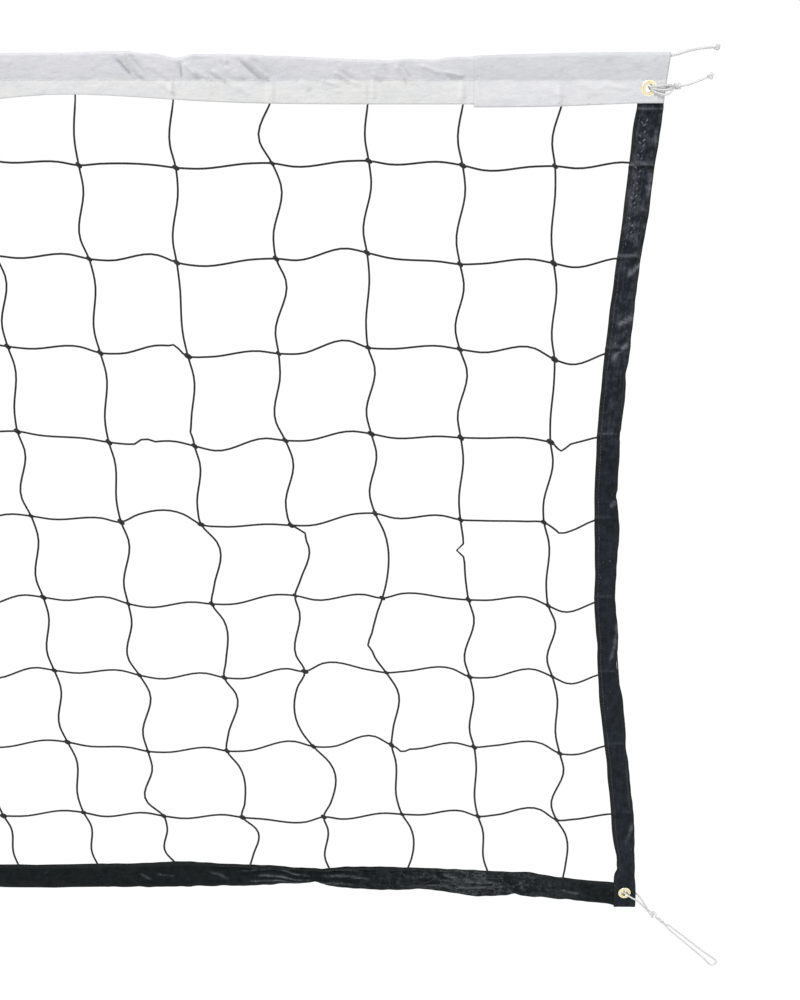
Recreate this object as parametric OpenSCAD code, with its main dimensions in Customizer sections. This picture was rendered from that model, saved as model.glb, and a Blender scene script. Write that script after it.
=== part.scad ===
// Volleyball net with a white headband, black tapes, brass eyelets and its cords.
// Millimetres. X runs along the net, Z is up, the front faces -Y.
// The origin is on the head rope, half way along it.

/* [Mesh] */
// Squares along the net
squares_long = 96; // [24:2:120]
// Squares from top to bottom
squares_high = 10; // [8:1:12]
// Side of one square
square_side = 101.6; // [80:0.1:130]
// Thickness of the twine
twine_d = 1.8; // [1.2:0.1:3]
// One cord in this many is drawn, so that the mesh stays light
cord_step = 2; // [2:1:4]

/* [Headband] */
// From the head rope down to the lower edge
band_drop = 48; // [35:1:80]
// Thickness of the coated cloth
vinyl = 0.6; // [0.4:0.1:1.2]
// Room between the head rope and its channel
rope_room = 1.5; // [0.8:0.1:3]
// How far the headband runs past the last square
band_over = 8.5; // [6:0.5:20]
// Length of the patch that doubles each end
patch_length = 200; // [80:5:300]
// How far the patch hangs below the headband
patch_below = 3; // [1:0.5:6]

/* [Tapes] */
// Width of the folded side tape
side_w = 28; // [24:1:40]
// Height of the folded bottom tape
bottom_h = 35; // [28:1:50]
// Thickness of the webbing
webbing = 0.6; // [0.4:0.1:1.2]
// How far the slack side tapes bow in
side_bow = 36; // [0:1:60]
// How far the bottom corners are pulled out
corner_out = 37; // [0:1:60]
// How far the bottom corners are pulled down
corner_down = 27; // [0:1:45]
// Side tape left showing below the bottom tape
tab_below = 5; // [2:0.5:12]

/* [Eyelets] */
// Diameter of the hole
eyelet_bore = 8; // [7:0.1:9]
// Outer diameter of the flange
flange_d = 16.4; // [14:0.1:20]
// Thickness of the brass
brass = 0.5; // [0.4:0.05:0.8]
// From the end of the headband in to the top eyelet
eyelet_in = 18; // [14:0.5:30]
// From the lower edge of the headband up to the top eyelet
eyelet_up = 16; // [12:0.5:20]

/* [Cords] */
// Diameter of the head rope
head_rope_d = 3; // [2.4:0.1:5]
// Diameter of the tie cords
tie_d = 2.4; // [1.8:0.1:3]
// Slope of the top ties, up from level
top_tie_angle = 4; // [0:1:12]
// Slope of the bottom ties, down from level
bottom_tie_angle = 42; // [20:1:60]

/* [Hidden] */
slip = 0.2;             // room for the twine between two layers
ply_gap = 0.1;          // room between two pieces sewn face to face
hole_gap = 0.1;         // room round an eyelet's barrel
cord_gap = 0.4;         // room between a cord and the brass it passes
thread = 0.3;           // thickness of the sewing thread
thread_w = 0.8;         // width of a row of stitches

half_length = squares_long * square_side / 2;
half_twine = twine_d / 2;

// Half thicknesses, worked outwards from the twine
half_gap = (twine_d + slip) / 2;
band_half = half_gap + vinyl;
patch_inner = band_half + ply_gap;
patch_half = patch_inner + vinyl;
bottom_half = half_gap + webbing;
side_inner = bottom_half + ply_gap;
side_half = side_inner + webbing;

channel_r = head_rope_d / 2 + rope_room;
band_end = half_length + band_over;
patch_start = band_end - patch_length;
patch_drop = band_drop + patch_below;

// Bottom tape: level along the net, pulled down towards the corners
fold_below_cord = 12;    // from the mesh's lowest cord down to the bottom tape's fold
tape_z = -(squares_high * square_side + fold_below_cord - bottom_h / 2);
droop_reach = 190;       // how far in from the corner its pull is felt
bottom_steps = 24;       // straight pieces in each half of the bottom tape
side_centre_in = 7;      // side tape's centre line, in from the end of the squares
function bottom_z(x) = tape_z - corner_down * exp((abs(x) - half_length) / droop_reach);
corner_z = bottom_z(half_length);

// Side tape: hangs from inside the headband and bows in between its two ends
closed_top = 3;          // depth of the closed strip across its upper end
side_steps = 28;         // straight pieces in the side tape
side_top = -(patch_drop + 1);
side_foot = corner_z - bottom_h / 2 - tab_below;
function drop_of(z) = min(1, max(0, (side_top - z) / (side_top - side_foot)));
function bow(s) = side_bow * pow(max(0, sin(180 * pow(s, 0.9))), 1 + s);
function side_x(z) = half_length - side_centre_in + corner_out * drop_of(z) - bow(drop_of(z));

// The bottom tape ends inside the side tape's outer fold
bottom_end = side_x(corner_z + bottom_h / 2) + side_w / 2 - webbing - slip;
function bottom_x(i) = bottom_end * sin(90 * i / bottom_steps);

// The mesh is caught in the fold of each tape
selvedge_in = 3;         // from the side tape's outer fold to the outermost cord
top_cord_z = -(head_rope_d / 2 + slip + half_twine);
cord_in_tape = bottom_h / 2 - fold_below_cord;
function selvedge_x(z) = side_x(z) + side_w / 2 - selvedge_in;
half_count = squares_long / 2;
last_cord = cord_step * (ceil(half_count / cord_step) - 1);
cords = concat([-half_count], [for (i = [-last_cord:cord_step:last_cord]) i], [half_count]);
rows = concat([0], [for (j = [cord_step:cord_step:squares_high - 1]) j], [squares_high]);
// Upright cords lean out towards the corners; the outermost follow the side tapes
function lean(z) = 1 + corner_out / half_length * min(1, -z / (squares_high * square_side));
function cord_x(i, z) = abs(i) == half_count ? sign(i) * selvedge_x(z) : i * square_side * lean(z);
function row_z(j) = j == 0 ? top_cord_z : -j * square_side;
function foot_of(i) =
    let (x = cord_x(i, corner_z - cord_in_tape)) [x, bottom_z(x) - cord_in_tape];

// Eyelets
bore_r = eyelet_bore / 2;
barrel_r = bore_r + brass;
flange_r = flange_d / 2;
flange_h = 0.8;          // height of the flange over the cloth
rim_h = 0.3;             // thickness of the flange at its rim
rim_slope = 1;           // width of the slope round the flange
washer_t = brass;
washer_in = 0.4;         // washer's edge, in from the flange's
lip_h = 0.6;             // height of the rolled lip over the washer
lip_w = 1.6;             // how far the lip is rolled out past the barrel
lip_slope = 0.4;         // width of the slope round the lip
lip_r = barrel_r + lip_w;
top_eyelet = [band_end - eyelet_in, eyelet_up - band_drop];
bottom_eyelet = [side_x(corner_z), corner_z];

// The side tape's upper end reaches up past the top eyelet's barrel
tongue_over = 1.4;
tongue_top = top_eyelet[1] + barrel_r + hole_gap + tongue_over;

// Ties: each passes through its eyelet and leaves along its own local u axis
tie_r = tie_d / 2;
top_strand = patch_half + max(flange_h, washer_t + lip_h) + cord_gap + tie_r;
bottom_strand = side_half + max(flange_h, washer_t + lip_h) + cord_gap + tie_r;
pair_y = tie_r + 0.3;    // half the space between two strands where they meet a knot
closing_length = 7;      // the strands draw together over this length before the knot
straight_end = 1.5;      // and run straight into it
hitch_at = 30;
hitch_length = 8;
hitch_r = 2 * tie_r + 0.9;
hitch_bulge = 0.4;
top_knot_length = 8;
top_knot_r = tie_d + 1.6;
bottom_knot_at = 54;
bottom_knot_length = 11;
bottom_knot_r = tie_d + 1.8;
head_knot_length = 8;
head_knot_r = head_rope_d + 1;
collar = 0.5;            // knot's end over the cord that it meets
knot_sides = 12;
knot_waist = 0.85;       // radius between a knot's two turns, as a share of theirs

// Route of the top tie's tail, [along, up] in the tie's own direction
top_tail = [
    [34, 0], [35.5, 0], [38, 0.3], [41, 0.7], [45, 1.6], [49, 2.7], [53, 4], [57, 5.3], [60.5, 6.4]
];
// Sideways bend of the bottom tie between its eyelet and its knot, [along, up]
bottom_bend = [
    [0, 0], [6, 3], [12, 5], [18, 6], [24, 5.4], [30, 4.2], [36, 2.6], [42, 1], [46.5, 0], [48.5, 0]
];
// One side of the long loop at the bottom tie's end, [along, half the spread]
loop_side = [
    [59.5, 1.6], [66, 1.6], [72, 1.7], [78, 1.8], [84, 2], [92, 2.3], [100, 2.6], [110, 2.9], [120, 3],
    [130, 3.1], [140, 3.2], [150, 3.5], [158, 4], [165, 4.6], [171, 5]
];
loop_end = loop_side[len(loop_side) - 1][0];
// Route of the head rope past the headband, [along from the end of the headband, up]
rope_tail = [
    [0, 0], [1.5, 0], [4, 0.1], [8, 0.8], [13, 2.2], [19, 4], [25, 5.4], [32, 6.6], [39, 7.5], [45.5, 8]
];

$fn = 30;

// ---- helpers ----

// Runs a profile drawn in Y and Z along X, centred
module along_x(length) {
    translate([-length / 2, 0, 0]) rotate([90, 0, 90]) linear_extrude(length) children();
}

// Gives an outline drawn in X and Z a thickness along Y, centred
module upright(thickness) {
    rotate([90, 0, 0]) linear_extrude(thickness, center = true) children();
}

// Turns what is drawn round Z so that it stands round Y, its low end to the front
module facing_front() {
    rotate([-90, 0, 0]) children();
}

// Draws one end of the net: side is 1 for the right end and -1 for the left
module at_end(side) {
    mirror([side < 0 ? 1 : 0, 0, 0]) children();
}

// The headband's section: a round channel with two flat layers hanging from it
module keyhole(radius, half, drop) {
    circle(radius);
    translate([-half, -drop]) square([2 * half, drop]);
}

// Hole for an eyelet's barrel, at [x, z]
module barrel_hole(at) {
    translate([at[0], 0, at[1]]) rotate([90, 0, 0])
        cylinder(r = barrel_r + hole_gap, h = 6 * patch_half, center = true);
}

// A tube that follows points, with a flat end at each side.
// across is a direction that the path never runs along.
function unit(v) = v / norm(v);
function tangent(p, i) = unit(p[min(i + 1, len(p) - 1)] - p[max(i - 1, 0)]);
function ring(p, i, r, across, sides) =
    let (t = tangent(p, i), n = unit(cross(t, across)), b = cross(t, n))
    [for (k = [0:sides - 1]) p[i] + r * (cos(360 * k / sides) * n + sin(360 * k / sides) * b)];
module tube(p, r, across, sides = 8) {
    rings = len(p);
    points = [for (i = [0:rings - 1]) each ring(p, i, r, across, sides)];
    walls = [
        for (i = [0:rings - 2], k = [0:sides - 1])
            let (a = i * sides + k, b = i * sides + (k + 1) % sides)
            each [[a, a + sides, b], [b, a + sides, b + sides]]
    ];
    last = (rings - 1) * sides;
    near = [for (k = [1:sides - 2]) [0, k, k + 1]];
    far = [for (k = [1:sides - 2]) [last, last + k + 1, last + k]];
    polyhedron(points, concat(walls, near, far), convexity = 6);
}

// A knot drawn round its cord: flat ends that the cord meets, and two turns between them
module knot(length, end_r, turn_r) {
    rotate([0, 90, 0]) rotate_extrude($fn = knot_sides)
        polygon([
            [0, -length / 2], [end_r, -length / 2], [turn_r, -length / 4],
            [knot_waist * turn_r, 0], [turn_r, length / 4], [end_r, length / 2], [0, length / 2]
        ]);
}

// Places what is drawn along +X on a tie that leaves the eyelet at [x, z] at an angle
module on_tie(side, eyelet, angle) {
    at_end(side) translate([eyelet[0], 0, eyelet[1]]) rotate([0, -angle, 0]) children();
}

// The two strands of a tie, from their knot to the eyelet and back on the other side.
// bend lists [along, up] points.
function strand_path(strand, reach, bend) =
    let (
        front = concat(
            [[reach, pair_y]],
            [for (k = [0:3])
                [reach - straight_end - closing_length * k / 4,
                    pair_y + (strand - pair_y) * (1 - cos(45 * k)) / 2]],
            [for (x = [reach - straight_end - closing_length:-5:strand + 2]) [x, strand]]),
        turn = [for (a = [-90:22.5:90]) [strand * (1 - cos(a)), strand * sin(a)]],
        back = [for (i = [len(front) - 1:-1:0]) front[i]]
    )
    [for (p = concat([for (q = front) [q[0], -q[1]]], turn, back)) [p[0], p[1], lookup(p[0], bend)]];

// ---- head rope ----

module head_rope() {
    color("gainsboro") along_x(2 * band_end) circle(head_rope_d / 2);
}

module head_rope_tail(side) {
    route = [for (p = rope_tail) [band_end + p[0], 0, p[1]]];
    color("gainsboro") at_end(side) tube(route, head_rope_d / 2, [0, 1, 0]);
}

module head_knot(side) {
    last = rope_tail[len(rope_tail) - 1];
    color("gainsboro") at_end(side)
        translate([band_end + last[0] + head_knot_length / 2 + 0.1, 0, last[1]])
            knot(head_knot_length, head_rope_d / 2 + collar, head_knot_r);
}

// ---- headband ----

module headband() {
    color("white") difference() {
        along_x(2 * band_end) difference() {
            keyhole(channel_r + vinyl, band_half, band_drop);
            keyhole(channel_r, half_gap, band_drop + 1);
        }
        for (side = [-1, 1]) at_end(side) barrel_hole(top_eyelet);
    }
}

// One row of stitches half way down, on the front and on the back
module headband_stitching() {
    color("lightgray") for (face = [-1, 1])
        translate([0, face * (band_half + thread / 2), -band_drop / 2])
            cube([2 * patch_start - 2, thread, thread_w], center = true);
}

module end_patch(side) {
    middle = (patch_start + band_end) / 2;
    color("whitesmoke") at_end(side) difference() {
        translate([middle, 0, 0]) along_x(patch_length) difference() {
            keyhole(channel_r + 2 * vinyl + ply_gap, patch_half, patch_drop);
            keyhole(channel_r + vinyl + ply_gap, patch_inner, patch_drop + 1);
        }
        barrel_hole(top_eyelet);
    }
}

module patch_stitching(side) {
    inset = 4;
    short = 7;
    color("lightgray") at_end(side) for (face = [-1, 1])
        translate([patch_start + inset, face * (patch_half + thread / 2), -patch_drop / 2])
            cube([thread_w, thread, patch_drop - 2 * short], center = true);
}

// ---- mesh ----

// A strip that follows a line of [x, z] points, w wide along X or along Z
module strip_down(line, w) {
    polygon(concat(
        [for (p = line) [p[0] - w / 2, p[1]]],
        [for (i = [len(line) - 1:-1:0]) [line[i][0] + w / 2, line[i][1]]]));
}
module strip_along(line, w) {
    polygon(concat(
        [for (p = line) [p[0], p[1] + w / 2]],
        [for (i = [len(line) - 1:-1:0]) [line[i][0], line[i][1] - w / 2]]));
}

// One hole of the mesh, between two upright cords and two level ones
module mesh_hole(left, right, above, below) {
    at_edge = max(abs(left), abs(right)) == half_count;
    steps = at_edge ? 6 : 1;
    low_left = below == squares_high ? foot_of(left)[1] : row_z(below);
    low_right = below == squares_high ? foot_of(right)[1] : row_z(below);
    high = row_z(above) - half_twine;
    function down(i, low, shift) = [
        for (m = [0:steps])
            let (z = high + (low + half_twine - high) * m / steps) [cord_x(i, z) + shift, z]
    ];
    left_side = down(left, low_left, half_twine);
    right_side = down(right, low_right, -half_twine);
    polygon(concat(left_side, [for (m = [steps:-1:0]) right_side[m]]));
}

// The right half of the mesh's outline, from the top round to the foot's middle
function mesh_edge() =
    let (
        first = row_z(cord_step) + half_twine,
        top = side_top - closed_top - 1,
        foot = foot_of(half_count),
        inner = [for (m = [0:4]) let (z = first + (top - first) * m / 4) [selvedge_x(z) - half_twine, z]],
        outer = [
            for (m = [0:side_steps - 1])
                let (z = top + (foot[1] - top) * m / side_steps) [selvedge_x(z) + half_twine, z]
        ]
    )
    concat(
        [[cord_x(last_cord, top_cord_z) + half_twine, top_cord_z + half_twine]],
        [[cord_x(last_cord, first) + half_twine, first]],
        inner, outer,
        [[foot[0] + half_twine, foot[1] - half_twine]],
        [for (i = [last_cord:-cord_step:0]) foot_of(i) - [0, half_twine]]
    );

module net_mesh() {
    edge = mesh_edge();
    color("#202024") upright(twine_d) difference() {
        polygon(concat(edge, [for (m = [len(edge) - 2:-1:0]) [-edge[m][0], edge[m][1]]]));
        for (c = [0:len(cords) - 2], r = [0:len(rows) - 2])
            if (r > 0 || (c > 0 && c < len(cords) - 2))
                mesh_hole(cords[c], cords[c + 1], rows[r], rows[r + 1]);
    }
}

// ---- tapes ----

// The side tape's outline between two depths, from left to right of its centre line
module side_outline(left, right, top, foot) {
    line = [
        for (i = [0:side_steps])
            let (z = top + (foot - top) * i / side_steps) [side_x(z) + (left + right) / 2, z]
    ];
    strip_down(line, right - left);
}

module side_tape(side) {
    half = side_w / 2;
    color("#1c1c22") at_end(side) difference() {
        union() {
            upright(2 * side_half) side_outline(-half, half, side_top, side_foot);
            // Its upper end is pressed flat and sewn in between the headband's layers
            upright(2 * webbing) translate([side_x(side_top) - half, side_top - closed_top])
                square([side_w, tongue_top - side_top + closed_top]);
        }
        upright(2 * side_inner)
            side_outline(-half - 1, half - webbing, side_top - closed_top, side_foot - 1);
        barrel_hole(top_eyelet);
        barrel_hole(bottom_eyelet);
    }
}

module side_stitching(side) {
    inset = 4;
    below_patch = 6;
    above_eyelet = 24;
    from_centre = -side_w / 2 + inset;
    color("dimgray") at_end(side) for (face = [-1, 1])
        translate([0, face * (side_half + thread / 2), 0]) upright(thread)
            side_outline(from_centre, from_centre + thread_w,
                side_top - below_patch, corner_z + above_eyelet);
}

// The bottom tape's outline, from one edge to the other of its centre line
module bottom_outline(low, high, reach) {
    line = [
        for (i = [-bottom_steps:bottom_steps])
            let (x = min(reach, max(-reach, bottom_x(i)))) [x, bottom_z(x) + (low + high) / 2]
    ];
    strip_along(line, high - low);
}

module bottom_tape() {
    half = bottom_h / 2;
    color("#1c1c22") difference() {
        upright(2 * bottom_half) bottom_outline(-half, half, bottom_end);
        upright(2 * half_gap) bottom_outline(-half + webbing, half + 1, bottom_end + 1);
        for (side = [-1, 1]) at_end(side) barrel_hole(bottom_eyelet);
    }
}

module bottom_stitching() {
    inset = 5;
    from_centre = -bottom_h / 2 + inset;
    reach = bottom_eyelet[0] - side_w / 2 - 2;
    color("dimgray") for (face = [-1, 1])
        translate([0, face * (bottom_half + thread / 2), 0]) upright(thread)
            bottom_outline(from_centre, from_centre + thread_w, reach);
}

// ---- eyelets ----

// Flange in front, barrel through the cloth, and a lip rolled over the washer behind
module eyelet(side, at, grip) {
    color("gold") at_end(side) translate([at[0], 0, at[1]]) facing_front() rotate_extrude()
        polygon([
            [bore_r, -grip - flange_h], [flange_r - rim_slope, -grip - flange_h],
            [flange_r, -grip - rim_h], [flange_r, -grip], [barrel_r, -grip],
            [barrel_r, grip + washer_t], [lip_r, grip + washer_t],
            [lip_r - lip_slope, grip + washer_t + lip_h], [bore_r, grip + washer_t + lip_h]
        ]);
}

module washer(side, at, grip) {
    color("goldenrod") at_end(side) translate([at[0], 0, at[1]]) facing_front() rotate_extrude()
        translate([barrel_r + hole_gap / 2, grip])
            square([flange_r - barrel_r - washer_in, washer_t]);
}

// ---- ties ----

module top_loop(side) {
    level = [[0, 0], [hitch_at, 0]];
    color("silver") on_tie(side, top_eyelet, top_tie_angle)
        tube(strand_path(top_strand, hitch_at - hitch_length / 2, level), tie_r, [0, 0, 1]);
}

module top_hitch(side) {
    color("silver") on_tie(side, top_eyelet, top_tie_angle)
        translate([hitch_at, 0, 0]) knot(hitch_length, hitch_r, hitch_r + hitch_bulge);
}

module top_tail_cord(side) {
    route = [for (p = top_tail) [p[0] + hitch_at + hitch_length / 2 - top_tail[0][0], 0, p[1]]];
    color("silver") on_tie(side, top_eyelet, top_tie_angle) tube(route, tie_r, [0, 1, 0]);
}

module top_knot(side) {
    last = top_tail[len(top_tail) - 1];
    before = top_tail[len(top_tail) - 2];
    tilt = atan2(last[1] - before[1], last[0] - before[0]);
    color("silver") on_tie(side, top_eyelet, top_tie_angle)
        translate([last[0] + hitch_at + hitch_length / 2 - top_tail[0][0], 0, last[1]])
            rotate([0, -tilt, 0]) translate([top_knot_length / 2, 0, 0])
                knot(top_knot_length, tie_r + collar, top_knot_r);
}

module bottom_loop(side) {
    color("silver") on_tie(side, bottom_eyelet, -bottom_tie_angle)
        tube(strand_path(bottom_strand, bottom_knot_at - bottom_knot_length / 2, bottom_bend),
            tie_r, [0, 0, 1]);
}

module bottom_knot(side) {
    color("silver") on_tie(side, bottom_eyelet, -bottom_tie_angle)
        translate([bottom_knot_at, 0, 0])
            knot(bottom_knot_length, pair_y + tie_r + collar, bottom_knot_r);
}

// A long loop: out along one side, round its end and back along the other
module bottom_tail(side) {
    count = len(loop_side);
    half = loop_side[count - 1][1];
    route = concat(
        [for (p = loop_side) [p[0], 0, p[1]]],
        [for (a = [67.5:-22.5:-67.5]) [loop_end + half * cos(a), 0, half * sin(a)]],
        [for (i = [count - 1:-1:0]) [loop_side[i][0], 0, -loop_side[i][1]]]
    );
    color("silver") on_tie(side, bottom_eyelet, -bottom_tie_angle) tube(route, tie_r, [0, 1, 0]);
}

// ---- nodes ----

head_rope();
head_rope_tail(1);  // head_rope_right
head_rope_tail(-1);  // head_rope_left
head_knot(1);  // head_knot_right
head_knot(-1);  // head_knot_left
headband();
headband_stitching();
end_patch(1);  // end_patch_right
end_patch(-1);  // end_patch_left
patch_stitching(1);  // patch_stitching_right
patch_stitching(-1);  // patch_stitching_left
net_mesh();
side_tape(1);  // side_tape_right
side_tape(-1);  // side_tape_left
side_stitching(1);  // side_stitching_right
side_stitching(-1);  // side_stitching_left
bottom_tape();
bottom_stitching();
eyelet(1, top_eyelet, patch_half);  // eyelet_top_right
eyelet(-1, top_eyelet, patch_half);  // eyelet_top_left
eyelet(1, bottom_eyelet, side_half);  // eyelet_bottom_right
eyelet(-1, bottom_eyelet, side_half);  // eyelet_bottom_left
washer(1, top_eyelet, patch_half);  // washer_top_right
washer(-1, top_eyelet, patch_half);  // washer_top_left
washer(1, bottom_eyelet, side_half);  // washer_bottom_right
washer(-1, bottom_eyelet, side_half);  // washer_bottom_left
top_loop(1);  // tie_top_right_loop
top_hitch(1);  // tie_top_right_hitch
top_tail_cord(1);  // tie_top_right_tail
top_knot(1);  // tie_top_right_knot
top_loop(-1);  // tie_top_left_loop
top_hitch(-1);  // tie_top_left_hitch
top_tail_cord(-1);  // tie_top_left_tail
top_knot(-1);  // tie_top_left_knot
bottom_loop(1);  // tie_bottom_right_loop
bottom_knot(1);  // tie_bottom_right_knot
bottom_tail(1);  // tie_bottom_right_tail
bottom_loop(-1);  // tie_bottom_left_loop
bottom_knot(-1);  // tie_bottom_left_knot
bottom_tail(-1);  // tie_bottom_left_tail
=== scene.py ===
"""Volleyball net: a white headband over its head rope, black side and bottom tapes, knotted
twine, four brass eyelets, and the ties that pass through them.

Metres, in the model's own frame: X along the net, Z up, the front faces -Y. Both ends are
alike, so what is made for the right end is mirrored for the left one.
"""

import math

import bpy
import numpy as np
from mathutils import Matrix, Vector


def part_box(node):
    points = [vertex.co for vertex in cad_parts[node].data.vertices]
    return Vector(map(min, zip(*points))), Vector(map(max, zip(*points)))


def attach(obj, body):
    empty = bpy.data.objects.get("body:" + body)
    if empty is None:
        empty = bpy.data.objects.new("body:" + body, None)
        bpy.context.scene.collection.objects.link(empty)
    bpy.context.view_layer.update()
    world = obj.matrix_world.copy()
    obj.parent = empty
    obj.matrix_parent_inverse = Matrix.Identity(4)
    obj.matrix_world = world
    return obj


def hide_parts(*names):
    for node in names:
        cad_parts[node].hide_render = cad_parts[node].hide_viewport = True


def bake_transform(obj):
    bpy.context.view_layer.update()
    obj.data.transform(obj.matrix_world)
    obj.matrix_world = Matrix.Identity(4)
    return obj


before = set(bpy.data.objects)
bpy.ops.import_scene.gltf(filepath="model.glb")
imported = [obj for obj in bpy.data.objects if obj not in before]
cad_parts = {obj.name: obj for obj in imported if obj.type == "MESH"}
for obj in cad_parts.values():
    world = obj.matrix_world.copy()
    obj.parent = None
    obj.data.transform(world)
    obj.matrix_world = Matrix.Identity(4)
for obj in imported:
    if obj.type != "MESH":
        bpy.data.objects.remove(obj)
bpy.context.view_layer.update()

MM = 0.001
ENDS = (("right", 1), ("left", -1))

# ---- sizes, the same as the model's ----

COLUMNS, ROWS, SQUARE = 96, 10, 0.1016
HALF = COLUMNS * SQUARE / 2
TWINE_D, ROPE_D, TIE_D = 1.8 * MM, 3 * MM, 2.4 * MM
TWINE_LAY, ROPE_LAY, TIE_LAY = 6 * MM, 10 * MM, 9 * MM    # how far one turn of the strands goes
STRANDS = 3                               # how many of them a cord has
TWINE_FUZZ = 0.4 * MM                     # what the twine's fuzz adds to its diameter at the top,
FOOT_FUZZ = 0.5 * MM                      # and how much more in each metre down
VINYL = WEBBING = 0.6 * MM                # how thick each cloth is
SIDE_W, BOTTOM_H = 28 * MM, 35 * MM

BAND_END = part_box("headband")[1][0]
BAND_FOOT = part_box("headband")[0][2]
PATCH_START, _, PATCH_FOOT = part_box("end_patch_right")[0]


def middle(node):
    """Centre of a node's box, as an array."""
    low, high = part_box(node)
    return (np.array(low) + np.array(high)) / 2


TOP_EYELET = middle("eyelet_top_right")
BOTTOM_EYELET = middle("eyelet_bottom_right")
# radii of the holes in each cloth, under the eyelets' flanges
BAND_HOLE, SIDE_HOLE, BOTTOM_HOLE = 5.9 * MM, 6.1 * MM, 6.3 * MM

# how far a bottom corner is pulled out and down, how far a side tape bows in, and the length over
# which the pull down dies away
CORNER_OUT, CORNER_DOWN, SIDE_BOW = 37 * MM, 27 * MM, 36 * MM
DROOP_REACH = 190 * MM
TAPE_Z = -(ROWS * SQUARE + 12 * MM - BOTTOM_H / 2)
SIDE_TOP = PATCH_FOOT - 1 * MM
SIDE_IN = 7 * MM                          # its top's middle is so far in from the mesh's edge


def bottom_line(x):
    """Height of the bottom tape's centre line: level, and pulled down exponentially at the corners."""
    return TAPE_Z - CORNER_DOWN * np.exp((np.abs(x) - HALF) / DROOP_REACH)


SIDE_FOOT = bottom_line(HALF) - BOTTOM_H / 2 - 5 * MM


def side_line(z):
    """X of the side tape's centre line: a lean outwards, less a bow inwards that is a power of a sine."""
    s = np.clip((SIDE_TOP - z) / (SIDE_TOP - SIDE_FOOT), 0, 1)
    bow = SIDE_BOW * np.maximum(0, np.sin(np.pi * s**0.9)) ** (1 + s)
    return HALF - SIDE_IN + CORNER_OUT * s - bow


# ---- camera ----

camera_data = bpy.data.cameras.new("camera")
camera_data.sensor_width = 36
camera_data.lens = 41.44
camera = bpy.data.objects.new("camera", camera_data)
camera.location = (4.608, -1.275, -0.045)
camera.rotation_euler = (math.radians(70.9), 0, 0)
bpy.context.scene.collection.objects.link(camera)
bpy.context.scene.camera = camera


# ---- meshes ----


def new_piece(name, shape, material, mirror=False):
    """An object at the origin. shape is its points, a list of arrays of its faces' corners, three or
    four each, and None or a list of as many arrays with the UVs of each corner. mirror turns x to
    -x and each face round."""
    points, faces, uv = shape
    points = np.array(points, float).reshape(-1, 3)
    if mirror:
        points = points * [-1, 1, 1]
        faces = [f[:, ::-1] for f in faces]
        uv = None if uv is None else [t[:, ::-1] for t in uv]
    corners = np.concatenate([f.ravel() for f in faces])
    sizes = np.concatenate([np.full(len(f), f.shape[1]) for f in faces])
    mesh = bpy.data.meshes.new(name)
    mesh.vertices.add(len(points))
    mesh.vertices.foreach_set("co", points.ravel())
    mesh.loops.add(len(corners))
    mesh.loops.foreach_set("vertex_index", corners)
    mesh.polygons.add(len(sizes))
    mesh.polygons.foreach_set("loop_start", np.concatenate([[0], np.cumsum(sizes)[:-1]]))
    if uv is not None:
        layer = mesh.uv_layers.new(name="UVMap")
        layer.data.foreach_set("uv", np.concatenate([t.reshape(-1) for t in uv]))
    mesh.update(calc_edges=True)
    mesh.validate()
    mesh.shade_smooth()
    mesh.materials.append(material)
    piece = bpy.data.objects.new(name, mesh)
    bpy.context.scene.collection.objects.link(piece)
    return piece


def settle(piece, body, slot, *nodes):
    """The body that a piece rides on, the slot of its finish, which is not used, and the nodes that it stands
    for.
    """
    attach(piece, body)
    if nodes:
        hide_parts(*nodes)


def grid_quads(rows, cols, round_cols=False):
    """Corners of the quads of a rows x cols grid of points, and each corner's row and column.
    With round_cols the last column joins the first."""
    last = cols if round_cols else cols - 1
    i, j = (k.ravel() for k in np.meshgrid(np.arange(rows - 1), np.arange(last), indexing="ij"))
    row = np.stack([i, i, i + 1, i + 1], 1)
    col = np.stack([j, j + 1, j + 1, j], 1)
    return row * cols + col % cols, np.stack([row, col], 2)


def unit(v):
    """Vectors over their own lengths."""
    return v / np.maximum(np.linalg.norm(v, axis=-1, keepdims=True), 1e-12)


def distances(line):
    """How far each point of a line is from its first, along the line."""
    return np.concatenate([[0], np.cumsum(np.linalg.norm(np.diff(line, axis=0), axis=1))])


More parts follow.
